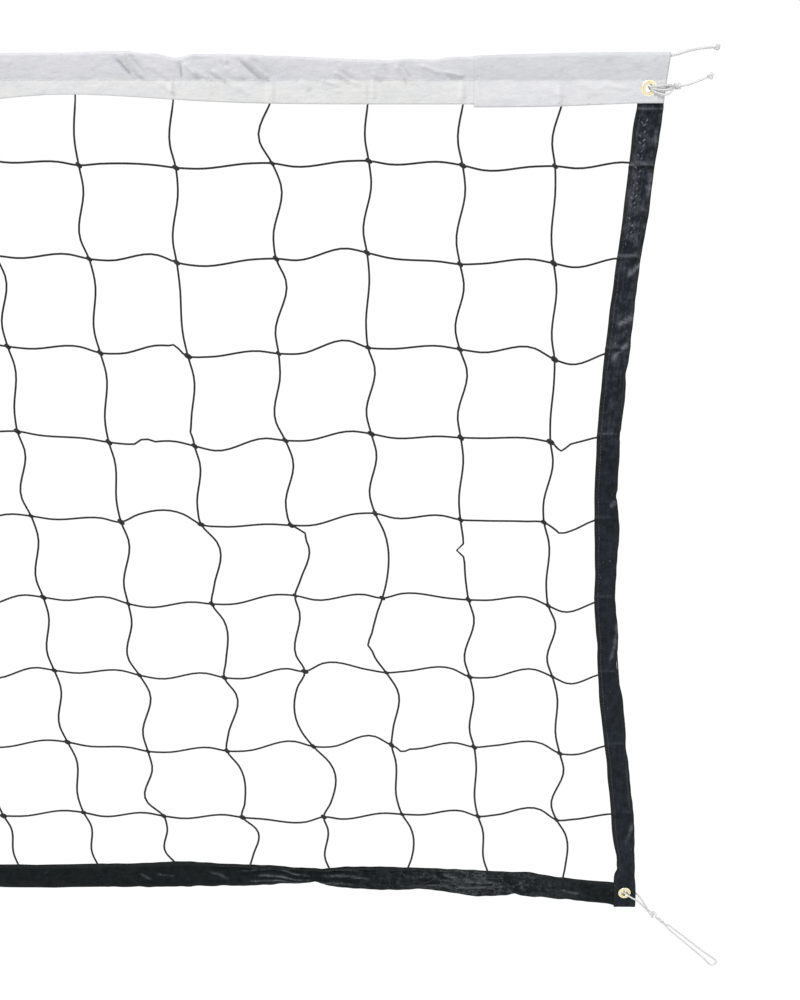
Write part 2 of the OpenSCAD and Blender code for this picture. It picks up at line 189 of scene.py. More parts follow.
def tubes(paths, radius, across, sides, turn=0.0, lobes=0, lobe_depth=0.0):
    """Tubes along an (s, n, 3) array of paths, with flat ends. Ring k of a path is
    p + r (cos a * n1 + sin a * n2), where n1 and n2 stand square to the path and n1 to across.
    A tube with lobes has r (1 - depth/2 (1 + cos(lobes (a - turn)))), turn being (s, n) or 0."""
    paths = np.asarray(paths, float)
    s, n, _ = paths.shape
    ahead = unit(np.gradient(paths, axis=1))
    n1 = unit(np.cross(ahead, across))
    n2 = np.cross(ahead, n1)
    a = 2 * np.pi * np.arange(sides) / sides
    turn = np.broadcast_to(turn, (s, n))[..., None]
    r = np.broadcast_to(radius, (s, n))[..., None] * (
        1 - lobe_depth / 2 * (1 + np.cos(lobes * (a - turn)))
        if lobes else np.ones(sides)
    )
    rings = (paths[:, :, None] + r[..., None] * (
        np.cos(a)[:, None] * n1[:, :, None] + np.sin(a)[:, None] * n2[:, :, None]))
    quads, place = grid_quads(n, sides, round_cols=True)
    start = np.arange(s)[:, None, None] * n * sides
    walls = (quads[None] + start).reshape(-1, 4)
    far = np.cumsum(np.linalg.norm(np.diff(paths, axis=1, prepend=paths[:, :1]), axis=2), 1)
    round_it = np.broadcast_to(place[..., 1] / sides, (s,) + place.shape[:2])
    uv = np.stack([far[:, place[..., 0]], round_it], -1)
    fan = np.stack([np.zeros(sides - 2, int), np.arange(2, sides), np.arange(1, sides - 1)], 1)
    near_cap = (fan[None] + start).reshape(-1, 3)
    far_cap = (fan[None, :, ::-1] + start + (n - 1) * sides).reshape(-1, 3)
    caps = np.concatenate([near_cap, far_cap])
    return rings.reshape(-1, 3), [walls[:, ::-1], caps[:, ::-1]], [
        uv.reshape(-1, 4, 2)[:, ::-1], np.zeros((len(caps), 3, 2))]


def thick_sheet(grid, thickness, hole=None, over=None):
    """A closed shell round an (n, m, 3) grid of points, thickness/2 to each side along its normals.
    hole is an (n-1, m-1) array that is true where a quad is left out. Every open edge gets a rim.
    The UVs are metres along and across; over gives those across, or they are measured half way."""
    n, m, _ = grid.shape
    normal = unit(np.cross(np.gradient(grid, axis=0), np.gradient(grid, axis=1)))
    outer = (grid + normal * thickness / 2).reshape(-1, 3)
    inner = (grid - normal * thickness / 2).reshape(-1, 3)
    quads, place = grid_quads(n, m)
    over = distances(grid[n // 2]) if over is None else over
    uv = np.stack([distances(grid[:, m // 2])[place[..., 0]], over[place[..., 1]]], -1)
    if hole is not None:
        kept = ~hole.reshape(-1)
        quads, uv = quads[kept], uv[kept]
    quads, uv = quads[:, ::-1], uv[:, ::-1]
    edges = np.stack([quads, np.roll(quads, -1, 1)], 2).reshape(-1, 2)
    edge_uv = np.stack([uv, np.roll(uv, -1, 1)], 2).reshape(-1, 2, 2)
    key, back = edges[:, 0] * n * m + edges[:, 1], edges[:, 1] * n * m + edges[:, 0]
    open_edge = ~np.isin(key, back)
    a, b = edges[open_edge].T
    rim = np.stack([b, a, a + n * m, b + n * m], 1)
    rim_uv = edge_uv[open_edge][:, [1, 0, 0, 1]]
    return np.concatenate([outer, inner]), [quads[:, ::-1], quads + n * m, rim[:, ::-1]], [
        uv[:, ::-1], uv, rim_uv[:, ::-1]]


def mark(piece, name, values):
    """Gives both faces of a thick_sheet's piece an attribute, from one value for each grid point."""
    layer = piece.data.attributes.new(name, "FLOAT", "POINT")
    layer.data.foreach_set("value", np.tile(values.ravel(), 2))


def curve_through(points, step):
    """A Catmull-Rom curve through the points, at even steps."""
    p = np.asarray(points, float)
    p = np.vstack([2 * p[0] - p[1], p, 2 * p[-1] - p[-2]])
    a, b, c, d = (x[:, None] for x in (p[:-3], p[1:-2], p[2:-1], p[3:]))
    t = np.linspace(0, 1, 16, endpoint=False)[:, None]
    line = (2 * b + (c - a) * t + (2 * a - 5 * b + 4 * c - d) * t**2 + (3 * b - a - 3 * c + d) * t**3) / 2
    line = np.vstack([line.reshape(-1, 3), p[-2]])
    far = distances(line)
    even = np.linspace(0, far[-1], max(4, round(far[-1] / step)))
    return np.stack([np.interp(even, far, line[:, k]) for k in range(3)], 1)


def waves(x, length, seed):
    """A smooth irregular wave of height about 1: six sines with seeded lengths and phases."""
    count = 6
    random = np.random.default_rng(seed)
    total = np.zeros_like(np.asarray(x, float))
    for _ in range(count):
        total += np.sin(2 * np.pi * (x / (length * random.uniform(0.6, 1.8)) + random.random()))
    return total / math.sqrt(count)


def bump(x, centre, width):
    """A bell: 1 at centre, and 0.37 one width away."""
    return np.exp(-(((x - centre) / width) ** 2))


def bells(x, table):
    """Sum of bells along x, [centre, width, height] in millimetres."""
    return sum(height * MM * bump(x, centre * MM, width * MM) for centre, width, height in table)


def ease(t):
    """0 up to t = 0, 1 from t = 1, and a smooth step between them."""
    t = np.clip(t, 0, 1)
    return t * t * (3 - 2 * t)


# ---- finishes ----


class Nodes:
    """Short ways to add nodes to a tree."""

    def __init__(self, tree):
        """Works on the tree."""
        self.tree = tree

    def add(self, kind, inputs=None, **values):
        """A node. inputs are sockets, numbers or colours for its inputs, and values are its settings
        or numbers for its inputs."""
        node = self.tree.nodes.new(kind)
        for key, value in values.items():
            if hasattr(node, key):
                setattr(node, key, value)
            else:
                node.inputs[key.replace("_", " ")].default_value = value
        for key, value in (inputs or {}).items():
            if isinstance(value, bpy.types.NodeSocket):
                self.tree.links.new(value, node.inputs[key])
            else:
                colour = isinstance(value, (tuple, list))
                node.inputs[key].default_value = (*value, 1) if colour else value
        return node

    def maths(self, operation, a, b=0):
        """operation on sockets or numbers."""
        return self.add("ShaderNodeMath", {0: a, 1: b}, operation=operation).outputs["Value"]

    def part(self, vector, axis):
        """A vector's X, Y or Z."""
        return self.add("ShaderNodeSeparateXYZ", {"Vector": vector}).outputs[axis]


class Finish(Nodes):
    """A material with one Principled shader. inputs are values for the shader's inputs."""

    def __init__(self, name, **inputs):
        """Makes the material."""
        self.material = bpy.data.materials.new(name)
        self.material.use_nodes = True
        super().__init__(self.material.node_tree)
        self.shader = self.tree.nodes["Principled BSDF"]
        for key, value in inputs.items():
            self.shader.inputs[key.replace("_", " ")].default_value = value

    def coordinates(self, which, scale=(1, 1, 1), turn=0.0):
        """Object or UV coordinates in metres, times scale, turned about Z."""
        source = self.add("ShaderNodeTexCoord")
        mapping = self.add("ShaderNodeMapping", {"Vector": source.outputs[which]})
        mapping.inputs["Scale"].default_value = scale
        mapping.inputs["Rotation"].default_value = (0, 0, turn)
        return mapping.outputs["Vector"]

    def noise(self, vector, scale, detail=3.0, roughness=0.55):
        """Noise of scale cells to the metre."""
        return self.add("ShaderNodeTexNoise", {"Vector": vector}, Scale=scale, Detail=detail,
                        Roughness=roughness).outputs["Fac"]

    def bands(self, vector, scale, direction="X", distortion=0.0):
        """Waves square to a direction."""
        return self.add("ShaderNodeTexWave", {"Vector": vector}, bands_direction=direction,
                        Scale=scale, Distortion=distortion).outputs["Fac"]

    def ramp(self, fac, *stops):
        """Colours at places along fac, from 0 to 1. A stop is (place, grey) or (place, colour)."""
        node = self.add("ShaderNodeValToRGB", {"Fac": fac})
        elements = node.color_ramp.elements
        for k, (place, colour) in enumerate(stops):
            e = elements[k] if k < 2 else elements.new(place)
            e.position = place
            e.color = (*((colour,) * 3 if isinstance(colour, (int, float)) else colour), 1)
        return node.outputs["Color"]

    def mix(self, a, b, fac, blend="MIX"):
        """Colour a, with b laid over it in the share fac."""
        inputs = {0: fac, 6: a, 7: b}
        return self.add("ShaderNodeMix", inputs, data_type="RGBA", blend_type=blend).outputs[2]

    def times(self, a, b):
        """Colour a multiplied by b."""
        return self.mix(a, b, 1, "MULTIPLY")

    def colour(self, socket):
        """Makes a socket the shader's colour."""
        self.tree.links.new(socket, self.shader.inputs["Base Color"])
        return self

    def rough(self, fac, low, high):
        """Roughness from low to high as fac goes from 0 to 1."""
        node = self.add("ShaderNodeMapRange", {"Value": fac}, To_Min=low, To_Max=high)
        self.tree.links.new(node.outputs["Result"], self.shader.inputs["Roughness"])
        return self

    def bumps(self, *layers):
        """Bump from (height socket, depth in metres) pairs, one laid over another."""
        below = {}
        for height, depth in layers:
            node = self.add("ShaderNodeBump", {"Height": height, **below}, Distance=depth, Strength=1)
            below = {"Normal": node.outputs["Normal"]}
        self.tree.links.new(below["Normal"], self.shader.inputs["Normal"])
        return self


def vinyl(name, lower, upper):
    """White coated cloth: a fine woven grain under a soft sheen, cool and warm blotches, painted shade in the
    creases, and painted shade that greys it above the seam and over the rope. The UVs' second value is how
    far above its lower edge a place would be if the cloth hung straight."""
    f = Finish(name, Roughness=0.5, Specular_IOR_Level=0.35)
    cloth = f.coordinates("UV")
    place = f.coordinates("Object")
    height = f.maths("DIVIDE", f.part(cloth, "Y"), 60 * MM)
    wander = f.maths("SUBTRACT", f.noise(f.coordinates("Object", (60, 60, 60)), 1, 2), 0.5)
    wander = f.maths("MULTIPLY", wander, 0.05)
    # painted shade: below the seam the cloth has the colour lower, and from the seam up and over the rope the
    # greyer colour upper, which stands for the shade there
    base = f.ramp(f.maths("ADD", height, wander), (0.0, [0.97 * c for c in lower]), (0.1, lower),
                  (0.375, lower), (0.415, upper), (0.66, [1.03 * c for c in upper]),
                  (0.80, [1.07 * c for c in upper]))
    blotches = f.ramp(f.noise(f.coordinates("Object", (1, 1, 2.5)), 26, 4), (0.32, (0.915, 0.925, 0.945)),
                      (0.5, (0.975, 0.975, 0.98)), (0.68, (1, 1, 0.995)))
    warm = f.ramp(f.noise(place, 9, 3), (0.45, (1, 1, 1)), (0.75, (0.985, 0.985, 0.965)))
    dust = f.ramp(f.noise(place, 110, 5, 0.7), (0.2, 0.93), (0.6, 1.0))
    colour = f.times(f.times(base, blotches), warm)
    # painted shade: the cloth is darkened where its creases draw it in, as shade falls there
    crease_shade = f.add("ShaderNodeAttribute", attribute_name="crease_shade").outputs["Fac"]
    painted_crease_shade = f.ramp(crease_shade, (0.0, (1, 1, 1)), (1.0, (0.58, 0.59, 0.62)))
    f.colour(f.times(f.times(colour, dust), painted_crease_shade))
    f.rough(f.noise(place, 40, 4), 0.38, 0.58)
    weave = f.maths("ADD", f.bands(cloth, 420, "X"), f.bands(cloth, 420, "Y"))
    crumple = f.noise(f.coordinates("Object", (1, 1, 1.6), 0.4), 75, 4, 0.6)
    return f.bumps((crumple, 1.6 * MM), (f.noise(place, 260, 3), 0.25 * MM), (weave, 0.03 * MM)).material


def webbing(name, deep, dark, light, fold_highlight, edge, lint, width, sheen_and_wear, crumpled):
    """Black woven tape, width across: ribs across it and yarns along it, a painted sheen that is bluish in
    the middle, a browner tone near the edges, lighter patches of two sizes that are partly wear and partly
    painted sheen, painted highlights on its folds and painted shade in its hollows, and lint along the yarns.
    The second to last argument gives the coordinate, centre and reach of the stretch where the lighter
    patches are strongest, and crumpled how strong its thin pale veins, painted highlights of crumples, are
    there: the places where a noise passes its middle value."""
    f = Finish(name, Roughness=0.6, Specular_IOR_Level=0.09)
    cloth = f.coordinates("UV")
    place = f.coordinates("Object")
    across = f.maths("DIVIDE", f.part(cloth, "Y"), width)
    axis, centre, reach = sheen_and_wear
    far = f.maths("ABSOLUTE", f.part(place, axis))
    off = f.maths("DIVIDE", f.maths("ABSOLUTE", f.maths("SUBTRACT", far, centre)), reach)
    # the stretch where the lighter patches, partly wear and partly painted sheen, are strongest
    sheen_and_wear_share = f.ramp(off, (0.0, 1.0), (1.0, 0.0))
    patches = f.noise(f.coordinates("Object", (1, 1, 0.7)), 30, 4, 0.55)
    grains = f.noise(f.coordinates("Object", (1, 1, 1), 0.2), 125, 3, 0.6)
    rubs = f.noise(f.coordinates("UV", (45, 330, 1)), 1, 4, 0.6)
    level = f.maths("ADD", f.maths("MULTIPLY", patches, 0.25), f.maths("MULTIPLY", grains, 0.45))
    level = f.maths("ADD", level, f.maths("MULTIPLY", rubs, 0.30))
    # the lighter colour of these patches is partly wear and partly painted sheen
    plain = f.ramp(level, (0.40, deep), (0.52, dark), (0.66, [1.6 * c for c in dark]))
    base = f.mix(plain, f.ramp(level, (0.38, deep), (0.48, dark), (0.66, light)), sheen_and_wear_share)
    seam = f.ramp(across, (0.0, 0.75), (0.10, 0.6), (0.15, 0.0), (0.80, 0.0), (0.93, 0.35))
    base = f.mix(base, edge, seam)
    flecks = f.ramp(f.noise(f.coordinates("UV", (150, 380, 1), 0.5), 1, 3, 0.5), (0.66, 0.0), (0.74, 0.8))
    zones = f.ramp(f.noise(f.coordinates("Object", (1, 1, 1), 0.3), 17, 3), (0.54, 0.0), (0.66, 0.8))
    # its relief, 0.5 where it is flat: folds get a painted highlight, and hollows painted shade
    relief = f.add("ShaderNodeAttribute", attribute_name="relief").outputs["Fac"]
    pale = f.maths("MULTIPLY", f.ramp(relief, (0.5, 0.0), (1.0, 1.0)),
                   f.ramp(grains, (0.35, 0.25), (0.6, 1.0)))
    base = f.times(f.mix(base, fold_highlight, pale), f.ramp(relief, (0.0, 0.3), (0.5, 1.0)))
    # painted highlight: thin pale veins stand for the light on crumples, strongest in the stretch of lighter
    # patches
    vein = f.noise(f.coordinates("Object", (1, 1, 1.6), 0.3), 55, 3, 0.65)
    vein = f.maths("ABSOLUTE", f.maths("SUBTRACT", vein, 0.5))
    veins = f.maths("MULTIPLY", f.ramp(vein, (0.0, crumpled), (0.03, 0.0)),
                    f.ramp(off, (0.0, 1.0), (0.6, 0.0)))
    base = f.mix(base, fold_highlight, veins)
    f.colour(f.mix(base, lint, f.mix((0, 0, 0), flecks, zones)))
    f.rough(patches, 0.5, 0.8)
    ribs = f.bands(cloth, 520, "X", 0.6)
    yarns = f.bands(cloth, 780, "Y", 0.4)
    crumple = f.noise(f.coordinates("Object", (1, 1, 1), 0.7), 130, 4, 0.6)
    return f.bumps((crumple, 2.4 * MM), (f.noise(place, 420, 2), 0.4 * MM), (ribs, 0.12 * MM),
                   (yarns, 0.06 * MM)).material


def laid_cord(name, dark, light, lay, depth):
    """Twisted cord: yarns that wind round it at the lay's pitch, painted shade in the grooves between them,
    fuzz, and soiling in patches.
    """
    f = Finish(name, Roughness=0.75, Specular_IOR_Level=0.3, Sheen_Weight=0.15)
    cord = f.coordinates("UV", (1 / lay, 1, 1))
    phase = f.maths("SUBTRACT", f.part(cord, "Y"), f.part(cord, "X"))
    groove = f.maths("COSINE", f.maths("MULTIPLY", phase, 2 * np.pi * STRANDS))
    yarn = f.maths("SUBTRACT", 0.5, f.maths("MULTIPLY", groove, 0.5))
    place = f.coordinates("Object")
    shade = f.ramp(f.noise(place, 60, 4), (0.35, dark), (0.65, light))
    # painted shade: the colour falls to 0.72 in the grooves between the yarns
    f.colour(f.mix(shade, f.ramp(yarn, (0.0, 0.72), (0.5, 1.0)), 0.6, "MULTIPLY"))
    f.rough(yarn, 0.85, 0.65)
    return f.bumps((f.noise(place, 900, 3), 0.1 * MM), (yarn, depth)).material


def metal(name, colour, dull, bore, roughness):
    """Pressed brass: its own colour on its dome and rim, painted shade down its bore, behind its flange and
    in its groove, with fine turning marks and tarnish. The UVs' second value goes round the turned profile
    from the bore."""
    f = Finish(name, Roughness=roughness, Metallic=1)
    place = f.coordinates("Object")
    round_profile = f.part(f.coordinates("UV"), "Y")
    tarnish = f.ramp(f.noise(place, 300, 4), (0.35, dull), (0.6, colour))
    # painted shade: the bore colour down the bore and behind the flange, and 0.55 in the dome's groove
    shade = f.ramp(round_profile, (0.0, bore), (0.10, bore), (0.17, 1.0), (0.24, 1.0), (0.30, 0.55),
                   (0.35, 1.0), (0.5, 1.0), (0.62, bore))
    f.colour(f.times(tarnish, shade))
    f.rough(f.noise(place, 500, 3), roughness - 0.08, roughness + 0.12)
    return f.bumps((f.noise(place, 900, 2), 0.04 * MM)).material


def thread(name, dark, light):
    """Sewing thread: two plies and a little fuzz."""
    f = Finish(name, Roughness=0.7, Specular_IOR_Level=0.3)
    place = f.coordinates("Object")
    f.colour(f.ramp(f.noise(place, 200, 3), (0.3, dark), (0.7, light)))
    return f.bumps((f.bands(place, 900, "DIAGONAL"), 0.05 * MM)).material


# the second colour of each vinyl is painted shade above the seam and over the rope
band_vinyl = vinyl("band_vinyl", (0.79, 0.79, 0.79), (0.685, 0.685, 0.715))
patch_vinyl = vinyl("patch_vinyl", (0.785, 0.785, 0.81), (0.66, 0.665, 0.69))
# in each webbing, light is the colour of its lighter patches, partly wear and partly painted sheen, their
# bluish tint is painted sheen, and the colour after light is a painted highlight on folds and crumples
side_webbing = webbing(
    "side_webbing", deep=(0.008, 0.011, 0.014), dark=(0.016, 0.021, 0.028), light=(0.115, 0.122, 0.148),
    fold_highlight=(0.20, 0.21, 0.24), edge=(0.022, 0.020, 0.017), lint=(0.28, 0.30, 0.34), width=SIDE_W,
    sheen_and_wear=("Z", 0.15, 0.34), crumpled=0.08)
bottom_webbing = webbing(
    "bottom_webbing", deep=(0.002, 0.004, 0.004), dark=(0.007, 0.010, 0.011), light=(0.050, 0.057, 0.062),
    fold_highlight=(0.15, 0.16, 0.17), edge=(0.016, 0.020, 0.019), lint=(0.24, 0.27, 0.28), width=BOTTOM_H,
    sheen_and_wear=("X", HALF - 0.17, 0.24), crumpled=0.55)
rope_cord = laid_cord("rope_cord", (0.72, 0.72, 0.72), (0.88, 0.88, 0.87), ROPE_LAY, 0.3 * MM)
tie_cord = laid_cord("tie_cord", (0.74, 0.74, 0.75), (0.90, 0.90, 0.90), TIE_LAY, 0.3 * MM)
twine_cord = laid_cord("twine_cord", (0.006, 0.006, 0.007), (0.020, 0.020, 0.022), TWINE_LAY, 0.25 * MM)
# the brass's third colour is painted shade for its bore; the washer's is 1.0, so it has none
brass = metal("brass", (1.0, 0.93, 0.66), (0.93, 0.80, 0.45), (0.42, 0.40, 0.32), 0.22)
washer_brass = metal("washer_brass", (0.80, 0.64, 0.30), (0.60, 0.46, 0.20), 1.0, 0.34)
pale_thread = thread("pale_thread", (0.72, 0.72, 0.73), (0.86, 0.86, 0.86))
worn_thread = thread("worn_thread", (0.02, 0.02, 0.024), (0.20, 0.21, 0.235))
dark_thread = thread("dark_thread", (0.02, 0.02, 0.022), (0.10, 0.10, 0.11))


# ---- cords ----

TOP_TIE_ANGLE, BOTTOM_TIE_ANGLE = 4, -42
TOP_HITCH_AT, TOP_HITCH_LENGTH = 30 * MM, 8 * MM
BOTTOM_KNOT_AT = 54 * MM

# Routes in millimetres, [along, up], as in the model
ROPE_TAIL = [[0, 0], [1.5, 0], [4, 0.1], [8, 0.8], [13, 2.2], [19, 4], [25, 5.4], [32, 6.6], [39, 7.5],
             [45.5, 8]]
TOP_TAIL = [[34, 0], [35.5, 0], [38, 0.3], [41, 0.7], [45, 1.6], [49, 2.7], [53, 4], [57, 5.3], [60.5, 6.4]]
BOTTOM_BEND = [[0, 0], [6, 3], [12, 5], [18, 6], [24, 5.4], [30, 4.2], [36, 2.6], [42, 1], [46.5, 0],
               [48.5, 0]]
# one strand of the bottom tie up to its knot: [along, out from the net, apart from the other]
BOTTOM_STRAND = [[0, 0, 0], [0.6, 3.4, 0], [3.4, 4.9, 0.6], [9, 5.2, 2], [16, 5, 2.6], [24, 4.6, 2],
                 [31, 3.6, 1.4], [38, 2.4, 1], [44, 1.7, 0.7], [49, 1.5, 0.4], [54, 1.4, 0.2]]
# its loop past the knot: [along, half the loop's width]
LOOP_SIDE = [[59.5, 1.6], [66, 1.6], [72, 1.7], [78, 1.8], [84, 2], [92, 2.3], [100, 2.6], [110, 2.9],
             [120, 3], [130, 3.1], [140, 3.2], [150, 3.5], [158, 4], [165, 4.6], [171, 5]]


def tie_frame(eyelet, angle):
    """A function from a tie's own (along, y, up) to the net's (x, y, z): turned by an angle in
    degrees about the eyelet."""
    c, s = math.cos(math.radians(angle)), math.sin(math.radians(angle))

    def place(p):
        """Points of the tie as points of the net."""
        p = np.atleast_2d(np.asarray(p, float))
        return np.stack([eyelet[0] + p[:, 0] * c - p[:, 2] * s, p[:, 1],
                         eyelet[2] + p[:, 0] * s + p[:, 2] * c], 1)
    return place


def rope_mesh(path, diameter, lay, across, sides=15):
    """A rope along a path: a round tube with a lobe for each strand, which winds once in each lay."""
    turn = 2 * np.pi * distances(path) / lay
    return tubes(path[None], diameter / 2, across, sides, turn[None], STRANDS, 0.3)


def add_cord(name, path, diameter, lay, across, material, side):
    """A rope and the path that it follows, mirrored for the left end."""
    piece = new_piece(name, rope_mesh(path, diameter, lay, across), material, side < 0)
    return piece, path * [side, 1, 1]


def overhand(name, place, centre, size, stretch, diameter, lay, material, side):
    """An overhand knot at centre: the trefoil (cos t - 2 cos 2t, 1.1 sin 3t, sin t + 2 sin 2t) times
    size, with the first of the three along the cord and times stretch as well."""
    steps, sides = 96, 12
    t = np.linspace(0, 2 * np.pi, steps + 1)
    line = size * np.stack([
        stretch * (np.cos(t) - 2 * np.cos(2 * t)), 1.1 * np.sin(3 * t), np.sin(t) + 2 * np.sin(2 * t)], 1)
    path = place(np.asarray(centre) + line)
    turn = t[:-1] * round(distances(path)[-1] / lay)
    points, faces, uv = tubes(path[None, :-1], diameter / 2, (0.3, 1, 0.2), sides, turn[None],
                              STRANDS, 0.25)
    # the two open ends meet, so the caps go and the last ring joins the first
    ring = np.arange(sides)
    last = (steps - 1) * sides
    join = np.stack([last + ring, last + (ring + 1) % sides, (ring + 1) % sides, ring], 1)
    shape = points, [faces[0], join], [uv[0], np.zeros((sides, 4, 2))]
    return new_piece(name, shape, material, side < 0)


def wraps(name, place, start, length, radius, turns, diameter, lay, material, side):
    """Turns of the cord wound round its own strands: a helix of the cord from start along the tie,
    whose ends duck under the turns."""
    t = np.linspace(0, 1, 30 * turns)
    a = 2 * np.pi * turns * t
    along = start + diameter / 2 + (length - diameter) * t
    r = radius * (1 - 0.45 * (bump(t, 0, 0.06) + bump(t, 1, 0.06)))
    path = place(np.stack([along, r * np.cos(a), r * np.sin(a)], 1))
    near, far = place([[0, 0, 0], [1, 0, 0]])
    return new_piece(name, rope_mesh(path, diameter, lay, far - near, sides=12), material, side < 0)


def declare(line):
    """Works out the length of a tie's line, and does nothing with it."""
    float(distances(line)[-1])


def make_head_tail(side, name):
    """The head rope past the headband, up to its knot."""
    place = tie_frame([BAND_END, 0, 0], 0)
    route = np.array([[x, 0, z] for x, z in ROPE_TAIL]) * MM
    path = curve_through(place(route), 0.8 * MM)
    tail, line = add_cord(f"head_tail_{name}", path, ROPE_D, ROPE_LAY, (0, 1, 0), rope_cord, side)
    knot = overhand(f"head_tail_knot_{name}", place, route[-1] + [4.2 * MM, 0, 0], 0.78 * MM, 1.1,
                    3.0 * MM, ROPE_LAY, rope_cord, side)
    settle(tail, "head_rope", "head_rope_cord", f"head_rope_{name}")
    settle(knot, "head_rope", "head_rope_cord", f"head_knot_{name}")
    declare(line)


def make_top_tie(side, name):
    """One cord, three times through the eyelet, hitched round itself, and its tail to a knot."""
    place = tie_frame(TOP_EYELET, TOP_TIE_ANGLE)
    # each pass: how high its front strand lies at the hitch's side, and at the eyelet
    passes = ((1.8, 1.2), (-2.8, 0.0), (-7.4, -1.4))
    points = [[28, 0.9, 0.3]]
    for number, (spread, hole) in enumerate(passes):
        back = 0.5 * spread
        points += [
            [26, 1.9, back * 0.3], [23, 4.2, back * 0.7], [18, 5.2, back], [10, 5.4, back * 0.8],
            [3.5, 4.9, 0.6 * hole], [1.2 + 0.5 * number, 3.0, 0.8 * hole], [0.4 + 1.1 * number, 0, hole],
            [1.6 + 0.4 * number, -3.2, hole], [4, -4.9, hole + 0.25 * spread], [9, -5.2, 0.75 * spread],
            [15, -5.3, spread], [20, -5.0, 0.9 * spread], [24, -3.8, 0.45 * spread],
            [26.2, -1.8, 0.12 * spread], [28, -1.0, 0.1],
        ]
        if number < len(passes) - 1:
            points += [[30.5, -0.4, 0.6 - number], [30.2, 0.6, -0.6 + number], [28, 1.0, 0]]
    points += [[31, -0.3, 0]] + [[x, 0, z] for x, z in TOP_TAIL]
    path = curve_through(place(np.array(points) * MM), 0.7 * MM)
    tie, line = add_cord(f"top_tie_{name}", path, TIE_D, TIE_LAY, (0.05, 0.02, 1), tie_cord, side)
    hitch = wraps(f"top_tie_hitch_{name}", place, TOP_HITCH_AT - TOP_HITCH_LENGTH / 2, TOP_HITCH_LENGTH,
                  2.5 * MM, 3, TIE_D, TIE_LAY, tie_cord, side)
    knot = overhand(f"top_tie_knot_{name}", place, (np.array(points[-1]) + [3.6, 0, 1.2]) * MM,
                    0.84 * MM, 1.0, 2.8 * MM, TIE_LAY, tie_cord, side)
    node = f"tie_top_{name}"
    settle(tie, node, "tie_cord", f"{node}_loop", f"{node}_tail")
    settle(hitch, node, "tie_cord", f"{node}_hitch")
    settle(knot, node, "tie_cord", f"{node}_knot")
    leaves = place([[18 * MM, 0, 0]])[0] * [side, 1, 1]
    declare(line)


def make_bottom_tie(side, name):
    """A doubled cord: from the eyelet to its knot, twisted together, and a long loop past that."""
    place = tie_frame(BOTTOM_EYELET, BOTTOM_TIE_ANGLE)
    x, y, apart = np.transpose(BOTTOM_STRAND)
    rise = np.interp(x, *np.transpose(BOTTOM_BEND))
    front = np.stack([x, -y, rise - apart], 1)
    back = np.stack([x, y, rise + 0.4 * apart], 1)
    # past the knot the two sides wind round each other before they part
    x, half = np.transpose(LOOP_SIDE)
    turn = 2 * np.pi * 1.25 * (1 - ease((x - x[0]) / 24))
    out = np.stack([x, -half * np.sin(turn), half * np.cos(turn)], 1)
    a = np.radians([60, 30, 0, -30, -60])
    tip = np.stack([x[-1] + half[-1] * np.cos(a), 0 * a, half[-1] * np.sin(a)], 1)
    points = np.concatenate([front, out, tip, out[::-1] * [1, -1, -1], back[::-1]])
    path = curve_through(place(points * MM), 0.7 * MM)
    tie, line = add_cord(f"bottom_tie_{name}", path, TIE_D, TIE_LAY, (0.55, 0.05, 0.8), tie_cord, side)
    knot = overhand(f"bottom_tie_knot_{name}", place, (BOTTOM_KNOT_AT, 0, 0), 1.2 * MM, 1.3,
                    3.6 * MM, TIE_LAY, tie_cord, side)
    node = f"tie_bottom_{name}"
    settle(tie, node, "tie_cord", f"{node}_loop", f"{node}_tail")
    settle(knot, node, "tie_cord", f"{node}_knot")
    declare(line)


for end_name, end_side in ENDS:
    make_head_tail(end_side, end_name)
    make_top_tie(end_side, end_name)
    make_bottom_tie(end_side, end_name)


# ---- lines that the cloth, the rope inside it and the twine all follow ----


def from_end(x):
    """Distance inwards from the mesh's edge, the same at both ends."""
    return HALF - np.abs(x)


# the head rope's sag near an end, [distance in from the mesh's edge, reach, downwards]
SAGS = [[130, 50, 0.7], [285, 115, 6.6], [490, 50, 1.0], [565, 30, -1.6]]


def rope_sag(x):
    """How far the headband and the rope in it hang below their ends: a few bells near each end,
    which give way to a slow irregular wave along the rest."""
    a = from_end(x)
    near = bells(a, SAGS)
    far = 3 * MM + 1.6 * MM * waves(np.abs(x), 0.9, 3)
    return np.where(a < 0, 0, near + (far - near) * ease((a - 0.62) / 0.3))


def foot_rise(x):
    """How far the lower edges of the headband and its patches are above their straight lines."""
    a = from_end(x)
    near = 9.8 * MM * bump(a, 0.62, 0.135) + 4.2 * MM * bump(a, 0, 0.085)
    far = 1.5 * MM + 1.2 * MM * waves(np.abs(x), 0.6, 4)
    return near + (far - near) * ease((a - 0.62) / 0.2)


# gathers of the headband's upper edge, [distance in from the mesh's edge, reach, downwards]
PUCKERS = [[501, 14, 3.6], [534, 6, 0.9], [552, 5, -0.6], [484, 7, -0.8], [404, 10, 0.7], [283, 8, 0.9],
           [262, 6, -0.6], [236, 9, 1.2], [214, 10, -0.5]]


def top_pucker(x):
    """Small gathers of the headband's upper edge over the rope: how far it is pulled down."""
    a = from_end(x)
    near = bells(a, PUCKERS)
    far = 0.5 * MM * waves(np.abs(x), 0.06, 5) * np.maximum(0, waves(np.abs(x), 0.3, 6))
    return near + (far - near) * ease((a - 0.56) / 0.05)


